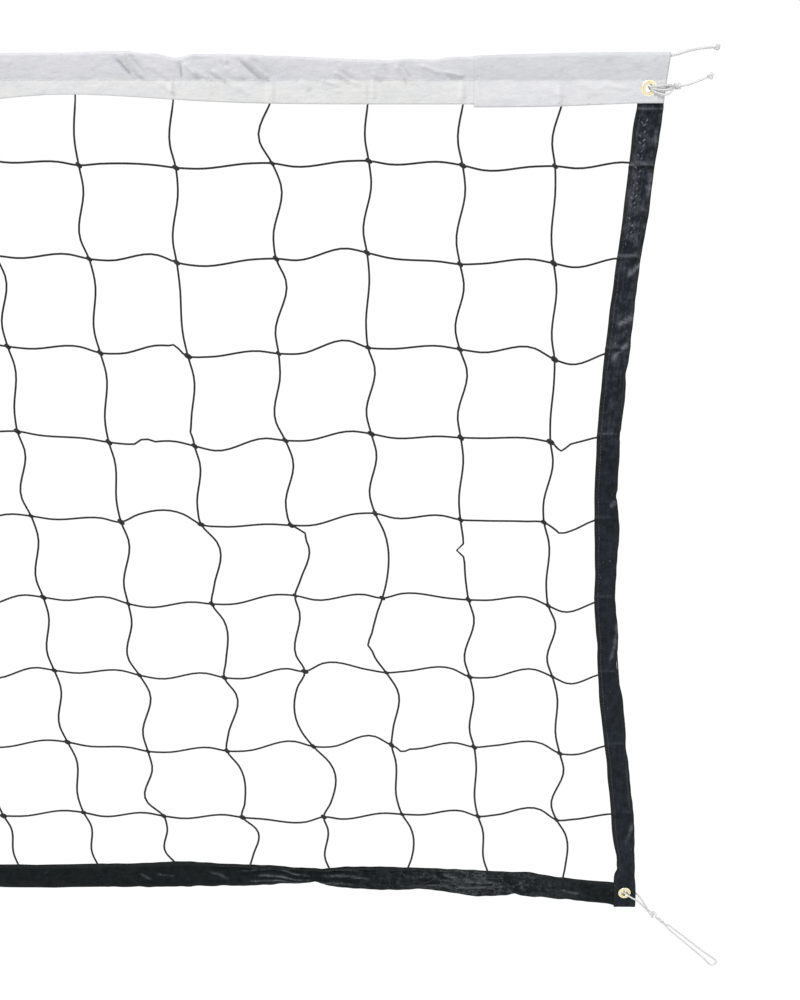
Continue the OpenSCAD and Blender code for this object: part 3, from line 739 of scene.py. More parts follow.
# creases across the headband's front, [[a0, z0, a1, z1], width, height], in millimetres: a is the
# distance in from the mesh's edge, and the height is outwards
CREASES = [
    [[560, 4, 534, -25], 1.9, 2.0], [[564, -2, 540, -27], 2.2, -2.2], [[550, 2, 528, -22], 2.6, -1.3],
    [[549, -17, 538, -28], 2.2, 1.4], [[535, -6, 505, -24], 4.0, 0.9],
    [[497, -4, 496, -22], 1.7, -2.0], [[492, -6, 478, -22], 3.0, 1.5], [[486, -14, 462, -24], 3.2, 1.1],
    [[463, -14, 449, -27], 2.0, 1.7], [[468, -15, 455, -26], 2.0, -1.3], [[457, 0, 446, -6], 3.0, 1.2],
    [[450, -10, 436, -25], 2.6, 1.0], [[438, -13, 431, -24], 2.0, 1.2], [[430, 0, 403, -26], 2.1, 2.2],
    [[436, -2, 409, -27], 2.4, -2.0], [[424, -2, 398, -20], 3.0, -0.8], [[402, -22, 402, -46], 1.8, 1.2],
    [[337, -13, 323, -26], 2.2, 1.5], [[330, -12, 317, -22], 2.4, -1.2], [[298, -14, 288, -26], 2.2, 1.3],
    [[286, -2, 280, -20], 3.0, -0.8], [[273, -4, 263, -26], 2.0, 1.7], [[266, -4, 257, -22], 2.4, -1.2],
    [[248, -4, 226, -16], 3.0, 1.2], [[223, -14, 203, -20], 2.2, 1.8], [[222, -18, 206, -27], 2.0, -0.8],
    [[373, -24, 362, -34], 3.0, 1.2], [[352, -24, 330, -29], 2.0, 1.0], [[326, -24, 310, -29], 2.0, 0.9],
    [[520, -26, 505, -40], 3.0, 1.1], [[508, -22, 505, -46], 1.8, 1.1], [[440, -28, 425, -40], 3.4, 0.8],
    [[470, -30, 462, -40], 3.0, 0.8], [[297, -22, 297, -46], 2.0, 0.8], [[205, -22, 205, -46], 2.0, 0.8],
    [[180, -6, 150, -20], 5.0, 0.5], [[120, -30, 96, -42], 4.5, 0.7], [[84, -26, 60, -38], 4.0, 0.8],
    [[56, -4, 40, -22], 4.0, -0.6], [[104, -2, 104, -46], 2.0, 0.4], [[60, -30, 30, -34], 3.0, 0.6],
    [[36, 0, 20, -12], 3.0, 0.7],
]


CREASE_RISE, CREASE_SPREAD = 1.5, 0.85    # by which the creases' heights and widths are multiplied


def crease_height(a, z, creases):
    """Sum of creases: each is a bell across a line, faded out towards the line's ends."""
    total = np.zeros(np.broadcast(a, z).shape)
    for line, width, height in creases:
        x0, z0, x1, z1 = np.array(line) * MM
        span = np.hypot(x1 - x0, z1 - z0)
        t = ((a - x0) * (x1 - x0) + (z - z0) * (z1 - z0)) / span**2
        off = ((a - x0) * (z1 - z0) - (z - z0) * (x1 - x0)) / span
        fade = ease(t / 0.3 + 0.3) * ease((1 - t) / 0.3 + 0.3)
        total += CREASE_RISE * height * MM * bump(off, 0, CREASE_SPREAD * width * MM) * fade
    return total


# how far the band's layers stand from the net's plane at the rope, and below the seam under it
BAND_R, BAND_Y, SEAM_Z = 2.2 * MM, 1.35 * MM, -24 * MM
CLOSEST = 1.25 * MM                       # and how near to it they may come
PATCH_OUT = 0.72 * MM                     # how far a patch lies outside the headband
# a band's columns: up the front to the seam and on to the rope, round it, and down again
FRONT_LOW, FRONT_HIGH, ROUND, BACK_HIGH, BACK_LOW = 14, 18, 9, 6, 8


def gathers(x, z):
    """Short slanting waves that rise from the seam, deeper in some stretches, none on the patches."""
    where = np.clip(0.5 + waves(np.abs(x), 0.16, 13), 0, 1.4) * ease((from_end(x) - 0.17) / 0.03)
    return 0.45 * MM * waves(np.abs(x) + 0.9 * z, 0.022, 12) * bump(z, SEAM_Z + 3 * MM, 7 * MM) * where


def even_layer(z):
    """How far a smooth layer stands from the net's plane: evenly below the seam, and from there out
    to the rope, nearly in proportion."""
    return BAND_Y + (BAND_R - BAND_Y) * np.clip(1 - z / SEAM_Z, 0, 1) ** 1.15


def band_bulge(x, z):
    """How far the headband's front layer stands in front of the plane, at height z from its rope:
    an even layer, and on that, creases, soft waves and a slight ridge over each upright strand."""
    below = ease((SEAM_Z - z) / (10 * MM))
    soft = 0.35 * MM * waves(np.abs(x) + 0.6 * z, 0.07, 11) * (0.4 + 0.8 * below)
    seam = -0.35 * MM * bump(z, SEAM_Z, 2.2 * MM)
    from_strand = (np.abs(x) / SQUARE + 0.5) % 1 - 0.5
    ridge = 1.3 * MM * bump(from_strand * SQUARE, 0, 1.4 * MM) * below
    creases = crease_height(from_end(x), z, CREASES)
    return even_layer(z) + soft + seam + ridge + gathers(x, z) + creases


def front_heights(foot):
    """Heights of the front's columns: even steps from the foot to the seam, and on to the rope."""
    return np.concatenate([np.linspace(foot, SEAM_Z, FRONT_LOW, endpoint=False),
                           np.linspace(SEAM_Z, 0, FRONT_HIGH, endpoint=False)])


def back_heights(foot):
    """Heights of the back's columns: even steps from the rope to the seam, and on to the foot."""
    return np.concatenate([np.linspace(0, SEAM_Z, BACK_HIGH + 1)[1:],
                           np.linspace(SEAM_Z, foot, BACK_LOW + 1)[1:]])


def band_grid(x, out, foot):
    """Middle of the folded cloth: up the front from its foot, over the rope in a half circle, and
    down the back. x gives the rows, and out how far the layer lies outside the headband."""
    front, back = front_heights(foot), back_heights(foot)
    a = np.linspace(np.pi, 0, ROUND)
    r = BAND_R + out
    y = np.concatenate([0 * front, r * np.cos(a), 0 * back])
    z = np.concatenate([front, r * np.sin(a), back])
    grid = np.stack(np.broadcast_arrays(x[:, None], y, z), 2)
    grid[:, :len(front), 1] = -np.maximum(band_bulge(x[:, None], front[None]), CLOSEST) - out
    # the back is smoother: a quarter of the front's relief
    bulge = 0.25 * band_bulge(x[:, None], back[None]) + 0.75 * even_layer(back)
    grid[:, -len(back):, 1] = np.maximum(bulge, CLOSEST) + out
    # the top hangs with the rope, the seam stays level, and the foot has its own line
    upper = np.clip(1 - grid[..., 2] / SEAM_Z, 0, 1)
    lower = np.clip((grid[..., 2] - SEAM_Z) / (foot - SEAM_Z), 0, 1)
    edge = np.clip(1 + grid[..., 2] / (9 * MM), 0, 1)
    grid[..., 2] += (foot_rise(x)[:, None] * lower - rope_sag(x)[:, None] * upper
                     - top_pucker(x)[:, None] * edge)
    # its ends slant: outwards at the top and inwards at the foot, evenly between them
    depth = np.clip(grid[..., 2] / BAND_FOOT, 0, 1)
    slant = (2.2 - 3.8 * depth) * MM * ease((np.abs(grid[..., 0]) - PATCH_START) / 0.2)
    grid[..., 0] += np.sign(grid[..., 0]) * slant
    return grid


def band_piece(name, grid, material, slot, node, mirror=False):
    """The cloth of a band_grid. Its UVs' second value is the height over its lower edge, and its attribute is
    how deep its front is drawn in by its creases: the square of the depth's share of 2.6 mm, which the vinyl
    turns into painted shade."""
    foot = grid[0, 0, 2] - foot_rise(grid[:1, 0, 0])[0]
    front = front_heights(foot)
    over_rope = BAND_R * np.sin(np.linspace(0, np.pi, ROUND))
    over = np.concatenate([front, over_rope, back_heights(foot)]) + 48 * MM
    shape = thick_sheet(grid, VINYL, hole_round(grid, TOP_EYELET, BAND_HOLE), over)
    piece = new_piece(name, shape, material, mirror)
    x = grid[:, :1, 0]
    height = crease_height(from_end(x), front[None], CREASES) + gathers(x, front[None])
    # the depth of the creases, which the vinyl uses for painted shade
    crease_shade = np.zeros(grid.shape[:2])
    crease_shade[:, :len(front)] = np.clip(-height / (2.6 * MM), 0, 1) ** 2
    mark(piece, "crease_shade", crease_shade)
    settle(piece, "net", slot, node)
    return piece


def folded(start, edge, reach, steps):
    """Places across a tape folded double, for each row: in so many points from its start to the
    fold, round a half circle that ends at the edge, and back. reach is the circle's radius, negative
    if the edge is towards the minus side. Also each column's side, -1 in front and 1 behind."""
    t = np.linspace(0, 1, steps)
    a = np.linspace(-np.pi / 2, np.pi / 2, 7)[1:-1]
    front = start[:, None] + (edge - reach - start)[:, None] * t
    fold = (edge - reach)[:, None] + np.reshape(reach, (-1, 1)) * np.cos(a)
    side = np.concatenate([-np.ones(steps), np.sin(a), np.ones(steps)])
    return np.concatenate([front, fold, front[:, ::-1]], 1), side


def fine_near_ends(reach, fine, coarse, end):
    """Places along X from -end to end: fine steps within reach of both ends, coarse between."""
    near = np.linspace(end - reach, end, round(reach / fine) + 1)
    count = round(2 * (end - reach) / coarse)
    return np.concatenate([-near[::-1], np.linspace(-(end - reach), end - reach, count + 1)[1:-1], near])


def hole_round(grid, at, radius):
    """Quads of a grid whose middles are within radius of an eyelet's axis, at either end."""
    mid = (grid[:-1, :-1] + grid[1:, :-1] + grid[:-1, 1:] + grid[1:, 1:]) / 4
    return np.hypot(np.abs(mid[..., 0]) - at[0], mid[..., 2] - at[2]) < radius


# ---- headband, its rope and the end patches ----

band = band_grid(fine_near_ends(0.62, 2.1 * MM, 28 * MM, BAND_END), 0, BAND_FOOT)
headband = band_piece("headband_cloth", band, band_vinyl, "headband_vinyl", "headband")

for name, side in ENDS:
    # the rope inside the headband: it sags and gathers as the cloth's top does
    x = np.linspace(0, BAND_END, 1400)
    line = np.stack([x, 0 * x, -rope_sag(x) - top_pucker(x)], 1)
    shape = rope_mesh(line, ROPE_D, ROPE_LAY, (0, 1, 0), sides=12)
    rope = new_piece(f"head_rope_{name}_half", shape, rope_cord, side < 0)
    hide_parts("head_rope")
    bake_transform(rope)

    patch = band_grid(np.linspace(PATCH_START, BAND_END, 90), PATCH_OUT, PATCH_FOOT)
    piece = band_piece(f"end_patch_cloth_{name}", patch, patch_vinyl, "patch_vinyl",
                       f"end_patch_{name}", mirror=side < 0)


# ---- side tapes ----

ROW_Z = -SQUARE * np.arange(ROWS + 1)
# how far the strands along the net end below their rows, inside the side tapes
TAPE_DROP = (3 + 7 * 0.25 ** np.arange(ROWS - 1)) * MM


def tape_half_room(z):
    """Half the distance between a side tape's two layers: close inside the headband, and open where
    the bottom tape's end lies between them."""
    return (0.65 + 0.6 * ease((-50 * MM - z) / (14 * MM)) + 0.75 * ease((OPENS_Z - z) / (25 * MM))) * MM


# how the side tape's edges stray outwards from even lines, [height, reach, distance], in millimetres
INNER_STRAYS = [[-168, 85, 2.6], [-400, 60, -0.8], [-560, 42, 1.7], [-676, 13, 1.8], [-762, 42, -1.4],
                [-988, 22, 4.5], [-1003, 5, 2]]
OUTER_STRAYS = [[-84, 34, 1.8], [-158, 34, 2.2], [-250, 60, -0.2], [-337, 11, -2.0], [-408, 4, -2.6],
                [-410, 34, -1.9], [-468, 26, -1.6], [-481, 5, -1.8], [-528, 22, 2.6], [-612, 30, -2.6],
                [-706, 27, -4.6], [-818, 12, -1.8], [-925, 34, 1.4], [-1045, 22, 1.6]]

# folds at its outer edge, as for the headband: depth down the tape, and inwards as negative
SIDE_CREASES = [
    [[72, -5, 92, -3.5], 1.7, 0.3], [[104, -3.5, 146, -3.5], 1.7, 0.25], [[133, 0, 131, -8], 1.8, 0.5],
    [[166, 0, 170, -9], 1.8, -0.3], [[213, 0, 226, -12], 2.0, 0.8], [[232, 0, 230, -14], 2.0, -0.3],
    [[271, 0, 280, -17], 2.4, 0.6], [[300, -4, 320, -20], 2.4, 0.5], [[488, 0, 494, -10], 2.0, 0.6],
    [[640, 0, 700, -8], 2.0, 0.3], [[930, -2, 960, -12], 2.0, 0.25],
]
# where the side tape is sewn across, just under the patch, and from where it opens over the bottom
# tape's end
SEWN_Z, OPENS_Z = -52.2 * MM, -975 * MM


def side_edges(z):
    """X of a side tape's inner and outer edge: even lines, their strays, and small waves."""
    inner = side_line(z) - SIDE_W / 2 + 0.25 * MM * waves(z, 0.045, 21)
    outer = side_line(z) + SIDE_W / 2 + 0.2 * MM * waves(z, 0.030, 22)
    return inner + bells(z, INNER_STRAYS), outer + bells(z, OUTER_STRAYS)


def side_tape_grid():
    """Webbing folded along its outer edge: rows go down the tape, closer together where it is sewn
    and at its foot, and columns across the front, in a half circle round the fold, and back across.
    Also its relief, 0.5 where it is flat, which the webbing turns into painted highlights and painted shade."""
    z = np.concatenate([np.linspace(-26 * MM, -46 * MM, 9, endpoint=False),
                        np.linspace(-46 * MM, -60 * MM, 20, endpoint=False),
                        np.linspace(-60 * MM, -1000 * MM, 386, endpoint=False),
                        np.linspace(-1000 * MM, SIDE_FOOT, 32)])
    h = tape_half_room(z)
    inner, outer = side_edges(z)
    x, sign = folded(inner, outer - WEBBING / 2, h, 15)
    zs = np.broadcast_to(z[:, None], x.shape)
    # ridges over the strands inside, puckers along the stitches, the hem's step along the inner
    # edge, soft waves, and a cuff where the tape is sewn across
    strands_at = ROW_Z[1:-1] - TAPE_DROP
    ridge = sum(bump(zs, at, 1.5 * MM) for at in strands_at)
    folds = crease_height(-zs, x - outer[:, None], SIDE_CREASES) / MM
    inside = ease((outer[:, None] - 1.5 * MM - x) / (3 * MM))
    u = (x - inner[:, None]) / SIDE_W
    pucker = waves(zs + 0.4 * x, 0.011, 26) * bump(u, 0.42, 0.20)
    pucker *= 0.35 + 0.65 * bump(zs, -150 * MM, 120 * MM)
    hem = ease((u - 0.14) / 0.05) * ease((0.85 - u) / 0.05)
    soft = waves(zs + 0.3 * x, 0.05, 23) * 0.28 + waves(zs - 0.5 * x, 0.11, 24) * 0.3
    free = ease((-46 * MM - zs) / (8 * MM))
    cuff = 0.5 * bump(zs, SEWN_Z, 1.6 * MM)
    # each strand shows as a line of painted shade under one of painted highlight, as light from above would
    # fall on its ridge, less and less down the tape
    strand = sum((bump(zs, at + 3.6 * MM, 1.8 * MM) - 1.8 * bump(zs, at, 1.3 * MM)) / row
                 for row, at in enumerate(strands_at, 1))
    # painted highlight along the sewn line, and painted shade just under it
    seam = 0.5 * bump(zs, SEWN_Z, 1 * MM) - 0.6 * bump(zs, SEWN_Z - 3.3 * MM, 1.8 * MM)
    # relief: painted highlights on outward folds and painted shade on inward ones, with the strand and seam
    # lines
    relief = folds / 0.8 + strand * inside * free + seam
    stands = 1.5 * ridge * inside + folds + 0.35 * soft + 0.35 * pucker - 0.30 * hem + cuff
    # the tape as a whole leans to and fro a little
    sway = 1.2 * MM * waves(z, 0.30, 25) * ease((-70 * MM - z) / 0.1) * ease((z + 0.96) / 0.08)
    y = sign * (h[:, None] + free * MM * stands) + sway[:, None]
    return np.stack([x, y, zs], 2), np.clip(0.5 + 0.5 * relief, 0, 1)


side_tape, side_relief = side_tape_grid()
side_hole = hole_round(side_tape, TOP_EYELET, SIDE_HOLE) | hole_round(side_tape, BOTTOM_EYELET, SIDE_HOLE)
side_shape = thick_sheet(side_tape, WEBBING, side_hole)
for name, side in ENDS:
    piece = new_piece(f"side_webbing_{name}", side_shape, side_webbing, side < 0)
    mark(piece, "relief", side_relief)
    settle(piece, "net", "side_webbing", f"side_tape_{name}")


# ---- bottom tape ----

BOTTOM_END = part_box("bottom_tape")[1][0] - 1.5 * MM
# dents in the bottom tape's edges near an end, [distance in from the mesh's edge, reach, upwards],
# in millimetres
TOP_DENTS = [[30, 50, -3], [100, 14, 2.5], [372, 6, -1.4], [385, 45, -4.5], [555, 45, 4]]
FOOT_DENTS = [[117, 7, 3], [165, 28, -4.5], [238, 24, 3.5], [379, 9, 5], [402, 52, 8], [500, 60, 2.5]]

# wrinkles on the bottom tape, as for the headband, but with the depth below its upper edge
TAPE_CREASES = [
    [[466, -7, 384, -14], 1.1, 0.7], [[458, -19, 386, -19], 1.1, 0.7], [[470, -27, 390, -22], 1.2, 0.6],
    [[446, -12, 394, -16], 1.1, -0.4], [[452, -24, 398, -21], 1.1, -0.35], [[480, -13, 440, -10], 1.2, 0.5],
    [[376, -6, 320, -8], 1.1, 0.6], [[374, -14, 312, -20], 1.2, 0.7], [[378, -23, 330, -29], 1.2, 0.6],
    [[368, -10, 330, -13], 1.1, -0.4], [[362, -20, 326, -24], 1.1, -0.35], [[388, -4, 380, -30], 1.8, -0.5],
    [[236, -24, 200, -27], 1.2, 0.5], [[214, -9, 176, -13], 1.2, 0.5], [[206, -17, 150, -15], 1.3, 0.6],
    [[196, -26, 150, -21], 1.3, 0.6], [[170, -8, 140, -17], 1.2, 0.5], [[154, -25, 128, -20], 1.2, 0.5],
    [[121, -4, 116, -30], 1.8, -0.5], [[112, -10, 106, -26], 1.4, 0.4], [[58, -15, 28, -21], 1.2, 0.6],
    [[520, -12, 494, -24], 1.4, 0.4], [[588, -16, 566, -20], 1.3, 0.5], [[612, -14, 598, -24], 1.3, 0.5],
]


def bottom_edges(x):
    """Heights of the bottom tape's upper and lower edge: half its height to each side of its line,
    with the dents near an end, slow waves and a narrowing beyond them, and small waves."""
    a = from_end(x)
    beyond = ease((a - 0.64) / 0.08)
    line = bottom_line(x) + 1.6 * MM * waves(np.abs(x), 0.21, 32) * beyond
    half = BOTTOM_H / 2 - 1.25 * MM * np.abs(waves(np.abs(x), 0.17, 31)) * beyond
    top = line + half + bells(a, TOP_DENTS) + 0.3 * MM * waves(np.abs(x), 0.030, 37)
    return top, line - half + bells(a, FOOT_DENTS) + 0.45 * MM * waves(np.abs(x), 0.024, 38)


def bottom_grid(x):
    """Webbing folded along its lower edge: rows go along X, and columns down the front, round the fold, and
    up the back. Where less than its full height is seen, it goes to and fro in one sine, whose depth is (seen
    / pi) sqrt(full / seen - 1), so that its width stays the same. Also its relief, 0.5 where it is flat,
    which the webbing turns into painted highlights and painted shade."""
    h = BAND_Y
    top, foot = bottom_edges(x)
    seen = top - foot
    steps = 21
    z, sign = folded(top, foot, -h, steps)
    t = np.linspace(0, 1, steps)
    v = np.concatenate([t, np.ones(len(sign) - 2 * steps), t[::-1]])
    xs = np.broadcast_to(x[:, None], z.shape)
    away = ease((from_end(x) - 0.012) / 0.04)
    depth = seen / np.pi * np.sqrt(np.maximum(BOTTOM_H / seen - 1, 0)) * away
    # the twine holds the upper edge in the net's plane
    away = away[:, None] * ease(v / 0.15)
    phase = 0.9 * waves(np.abs(x), 0.16, 35)
    fold = np.sin(2 * np.pi * v + phase[:, None]) - np.sin(phase)[:, None]
    fold *= depth[:, None] * ease(v / 0.15)
    sway = 0.8 * MM * waves(np.abs(x), 0.24, 33)[:, None] * (1 + 1.2 * (0.5 - v)) * away
    soft = 0.28 * MM * waves(np.abs(xs) + 0.5 * v * BOTTOM_H, 0.035, 34) * sign * away
    pucker = 0.3 * MM * waves(np.abs(xs) - 0.3 * v * BOTTOM_H, 0.012, 36) * sign * away
    pucker *= bump(v, 0.84, 0.10)
    wrinkles = crease_height(from_end(xs), -v * BOTTOM_H, TAPE_CREASES)
    grid = np.stack([xs, (h + wrinkles) * sign + fold + sway + soft + pucker, z], 2)
    # relief from the wrinkles: painted highlights on their ridges and painted shade in their grooves
    return grid, np.clip(0.5 + 0.4 * wrinkles / MM, 0, 1)


bottom_tape, bottom_relief = bottom_grid(fine_near_ends(0.70, 2.2 * MM, 22 * MM, BOTTOM_END))
bottom_hole = hole_round(bottom_tape, BOTTOM_EYELET, BOTTOM_HOLE)
bottom = new_piece("bottom_webbing", thick_sheet(bottom_tape, WEBBING, bottom_hole), bottom_webbing)
mark(bottom, "relief", bottom_relief)
settle(bottom, "net", "bottom_webbing", "bottom_tape")


# ---- knotted twine ----

# where a strand's bows stand between its two knots, as shares of the way
EARLY, LATE = 0.22, 0.79
STEPS = (4, 7, 4)                         # of a strand before, between and after them
PER_SQUARE = sum(STEPS)
# the strands that bow most near an end, in millimetres: how far each stands off the straight line
# between its knots, early and late. Upright strands, [square from the top, strand from the end,
# outwards, outwards]
COLUMN_BOWS = [
    [0, 4, 6, -12], [2, 4, 10, -3], [3, 4, 0, -9], [5, 2, 1, -1], [5, 5, 16, 5], [5, 4, 17, 7], [5, 3, 9, 7],
    [6, 6, 1, -10], [6, 5, 11, 5], [6, 3, -8, -13], [7, 6, 10, -4], [7, 5, 14, 2], [7, 4, -12, -13],
    [7, 3, 12, 3], [8, 6, 1, -16], [8, 5, 11, 7], [8, 4, 18, 12], [9, 6, 1, -9], [9, 5, 15, 6],
    [9, 3, 9, 7], [9, 1, 9, 5],
]
# strands along the net, [row of knots, square from the end, upwards, upwards]
ROW_BOWS = [
    [2, 6, -1, 7], [3, 6, 0, 10], [3, 4, -2, 9], [3, 2, -1, 10], [3, 1, -8, 0], [4, 5, -7, 4],
    [5, 6, 10, 12], [5, 1, -12, 1], [6, 3, 7, 2], [6, 2, 1, 8], [6, 1, -10, -1], [7, 4, 11, 3],
    [7, 3, 3, 10], [7, 2, -1, 10], [7, 1, -10, 1], [8, 5, -1, 9], [8, 4, -1, 13], [8, 3, -5, 5],
    [8, 2, 4, 12], [9, 5, -2, -7], [9, 2, 3, 14],
]
# sharp kinks: [square down or row, strand or square from the end, how far along, distance, reach]
COLUMN_KINKS = [[5, 2, 0.39, -9, 0.05], [6, 3, 0.60, -5, 0.06], [5, 4, 0.10, 8, 0.07], [3, 5, 0.84, -2, 0.05]]
ROW_KINKS = [[3, 6, 0.86, 5, 0.06], [4, 6, 0.42, 7, 0.06], [4, 1, 0.16, -9, 0.09], [8, 3, 0.13, -6, 0.06],
             [5, 1, 0.25, -3, 0.05]]


def top_cord_z(x):
    """Height of the mesh's top cord, just under the head rope."""
    return -2.9 * MM - rope_sag(x) - top_pucker(x)


def lattice():
    """Places of the knots, (row, column), by a law and seeded chance. They stand outwards by 50 mm
    at the foot of an end, less with the 2.5th power of the depth and evenly less towards the
    middle. They hang 5.5 mm low, 4.5 mm more or less by a cosine that repeats every four squares."""
    random = np.random.default_rng(5)
    row, col = np.meshgrid(np.arange(ROWS + 1), np.arange(COLUMNS + 1), indexing="ij")
    even = -HALF + col * SQUARE
    chance = random.normal(0, 2.5 * MM, (2,) + row.shape)
    chance[0, 0] = 0
    x = even + 50 * MM * (row / ROWS) ** 2.5 * even / HALF + chance[0]
    swing = np.cos(2 * np.pi * (from_end(even) / SQUARE - 1.2) / 4)
    z = ROW_Z[row] - (5.5 + 4.5 * swing) * MM + chance[1]
    # the top row hangs in the headband, the bottom row lies in the bottom tape, and the strands
    # along the net end in the side tapes' folds, the upper ones lower than even
    z[0] = top_cord_z(x[0])
    z[ROWS] = bottom_edges(x[ROWS])[0] - 1.5 * MM
    for c, side in ((0, -1), (-1, 1)):
        z[1:ROWS, c] = ROW_Z[1:ROWS] - TAPE_DROP
        x[1:ROWS, c] = side * (side_line(z[1:ROWS, c]) + SIDE_W / 2 - 4 * MM)
    return x, z


def bows(shape, seed, early, late):
    """How strands bow, (strand, square, 2): about early and late millimetres, with some chance."""
    return np.random.default_rng(seed).normal((early, late), 1.8, shape + (2,)) * MM


def strands(at, value, bow, kinks):
    """Smooth curves through knots and through two places between each pair, EARLY and LATE of the
    way, which stand off the straight line by bow. The curve is a cubic Hermite one, with the slope at
    each place that of the parabola through it and its neighbours; kinks add narrow bells."""
    share = np.array([0, EARLY, LATE])
    at_fine = at[:, :-1, None] + np.diff(at)[..., None] * share
    fine = value[:, :-1, None] + np.diff(value)[..., None] * share
    fine[..., 1:] += bow
    n = len(at)
    p = np.concatenate([at_fine.reshape(n, -1), at[:, -1:]], 1)
    v = np.concatenate([fine.reshape(n, -1), value[:, -1:]], 1)
    step, rise = np.diff(p), np.diff(v) / np.diff(p)
    slope = (rise[:, :-1] * step[:, 1:] + rise[:, 1:] * step[:, :-1]) / (step[:, 1:] + step[:, :-1])
    slope = np.concatenate([rise[:, :1], slope, rise[:, -1:]], 1)
    squares = at.shape[1] - 1
    part = np.repeat(np.arange(3 * squares), np.tile(STEPS, squares))
    t = np.tile(np.concatenate([np.arange(c) / c for c in STEPS]), squares)
    a, b, reach = v[:, part], v[:, part + 1], step[:, part]
    ma, mb = slope[:, part] * reach, slope[:, part + 1] * reach
    line = (a * (1 + 2 * t) + ma * t) * (1 - t) ** 2 + (b * (3 - 2 * t) - mb * (1 - t)) * t**2
    place = p[:, part] + reach * t
    along = np.interp(part % 3 + t, range(4), (0, EARLY, LATE, 1))
    for which, number, where, far, reach in kinks:
        line[number] += far * MM * bump(along, where, reach) * (part // 3 == which)
    return np.concatenate([place, at[:, -1:]], 1), np.concatenate([line, value[:, -1:]], 1)


def twine_piece(name, paths, *nodes):
    """Strands of twine: fuzzy where they are seen, and pressed close where the cloth covers them."""
    x, z = paths[..., 0], paths[..., 2]
    cover = [z - PATCH_FOOT, bottom_edges(x)[0] - z, np.abs(x) - side_edges(z)[0]]
    seen = 1 - ease(np.max(cover, axis=0) / (6 * MM))
    fuzz = (TWINE_FUZZ - FOOT_FUZZ * z) * seen
    shape = tubes(paths, (TWINE_D + fuzz) / 2, (0, 1, 0), 6)
    settle(new_piece(name, shape, twine_cord), "net", "twine", *nodes)


def depth_wave(seed, shape):
    """Small waves of each strand to the front and the back, none at the knots."""
    size = np.random.default_rng(seed).normal(0, 0.8 * MM, shape)
    half_wave = np.sin(np.pi * np.arange(PER_SQUARE) / PER_SQUARE)
    wave = np.repeat(size, PER_SQUARE, 1) * np.tile(half_wave, shape[1])
    return np.pad(wave, ((0, 0), (0, 1)))


knot_x, knot_z = lattice()

# upright strands: x is a curve over z
bow = bows((COLUMNS - 1, ROWS), 9, 4, -4)
for square, k, early, late in COLUMN_BOWS:
    bow[COLUMNS - 1 - k, square] = early * MM, late * MM
    bow[k - 1, square] = -early * MM, -late * MM
kinks = [[square, COLUMNS - 1 - k, where, far, reach] for square, k, where, far, reach in COLUMN_KINKS]
kinks += [[square, k - 1, where, -far, reach] for square, k, where, far, reach in COLUMN_KINKS]
down, sideways = strands(knot_z[:, 1:-1].T, knot_x[:, 1:-1].T, bow, kinks)
# inside the headband they lie flat between its layers
depth = depth_wave(6, (COLUMNS - 1, ROWS)) * ease((-50 * MM - down) / (10 * MM))
twine_piece("twine_columns", np.stack([sideways, depth, down], 2), "net_mesh")

# strands along the net: z is a curve over x
bow = bows((ROWS - 1, COLUMNS), 10, -2.5, 3.5)
for row, k, early, late in ROW_BOWS:
    bow[row - 1, COLUMNS - k] = early * MM, late * MM
    bow[row - 1, k - 1] = late * MM, early * MM
kinks = [[COLUMNS - k, row - 1, where, far, reach] for row, k, where, far, reach in ROW_KINKS]
kinks += [[k - 1, row - 1, 1 - where, far, reach] for row, k, where, far, reach in ROW_KINKS]
along, up = strands(knot_x[1:ROWS], knot_z[1:ROWS], bow, kinks)
depth = depth_wave(7, (ROWS - 1, COLUMNS))
depth[:, :PER_SQUARE] = depth[:, -PER_SQUARE - 1:] = 0
twine_piece("twine_rows", np.stack([along, depth, up], 2))

# hidden edges: the top cord, the bottom cord and the two selvedges
x = np.linspace(-HALF - 4 * MM, HALF + 4 * MM, 900)
edge_paths = [np.stack([x, 0 * x, top_cord_z(x)], 1)]
x = np.linspace(-BOTTOM_END + 6 * MM, BOTTOM_END - 6 * MM, 900)
edge_paths.append(np.stack([x, 0 * x, bottom_edges(x)[0] - 2 * MM], 1))
z = np.linspace(-60 * MM, SIDE_FOOT + 6 * MM, 900)
for _, side in ENDS:
    edge_paths.append(np.stack([side * (side_line(z) + SIDE_W / 2 - 3.5 * MM), 0 * z, z], 1))
twine_piece("twine_edges", np.array(edge_paths))


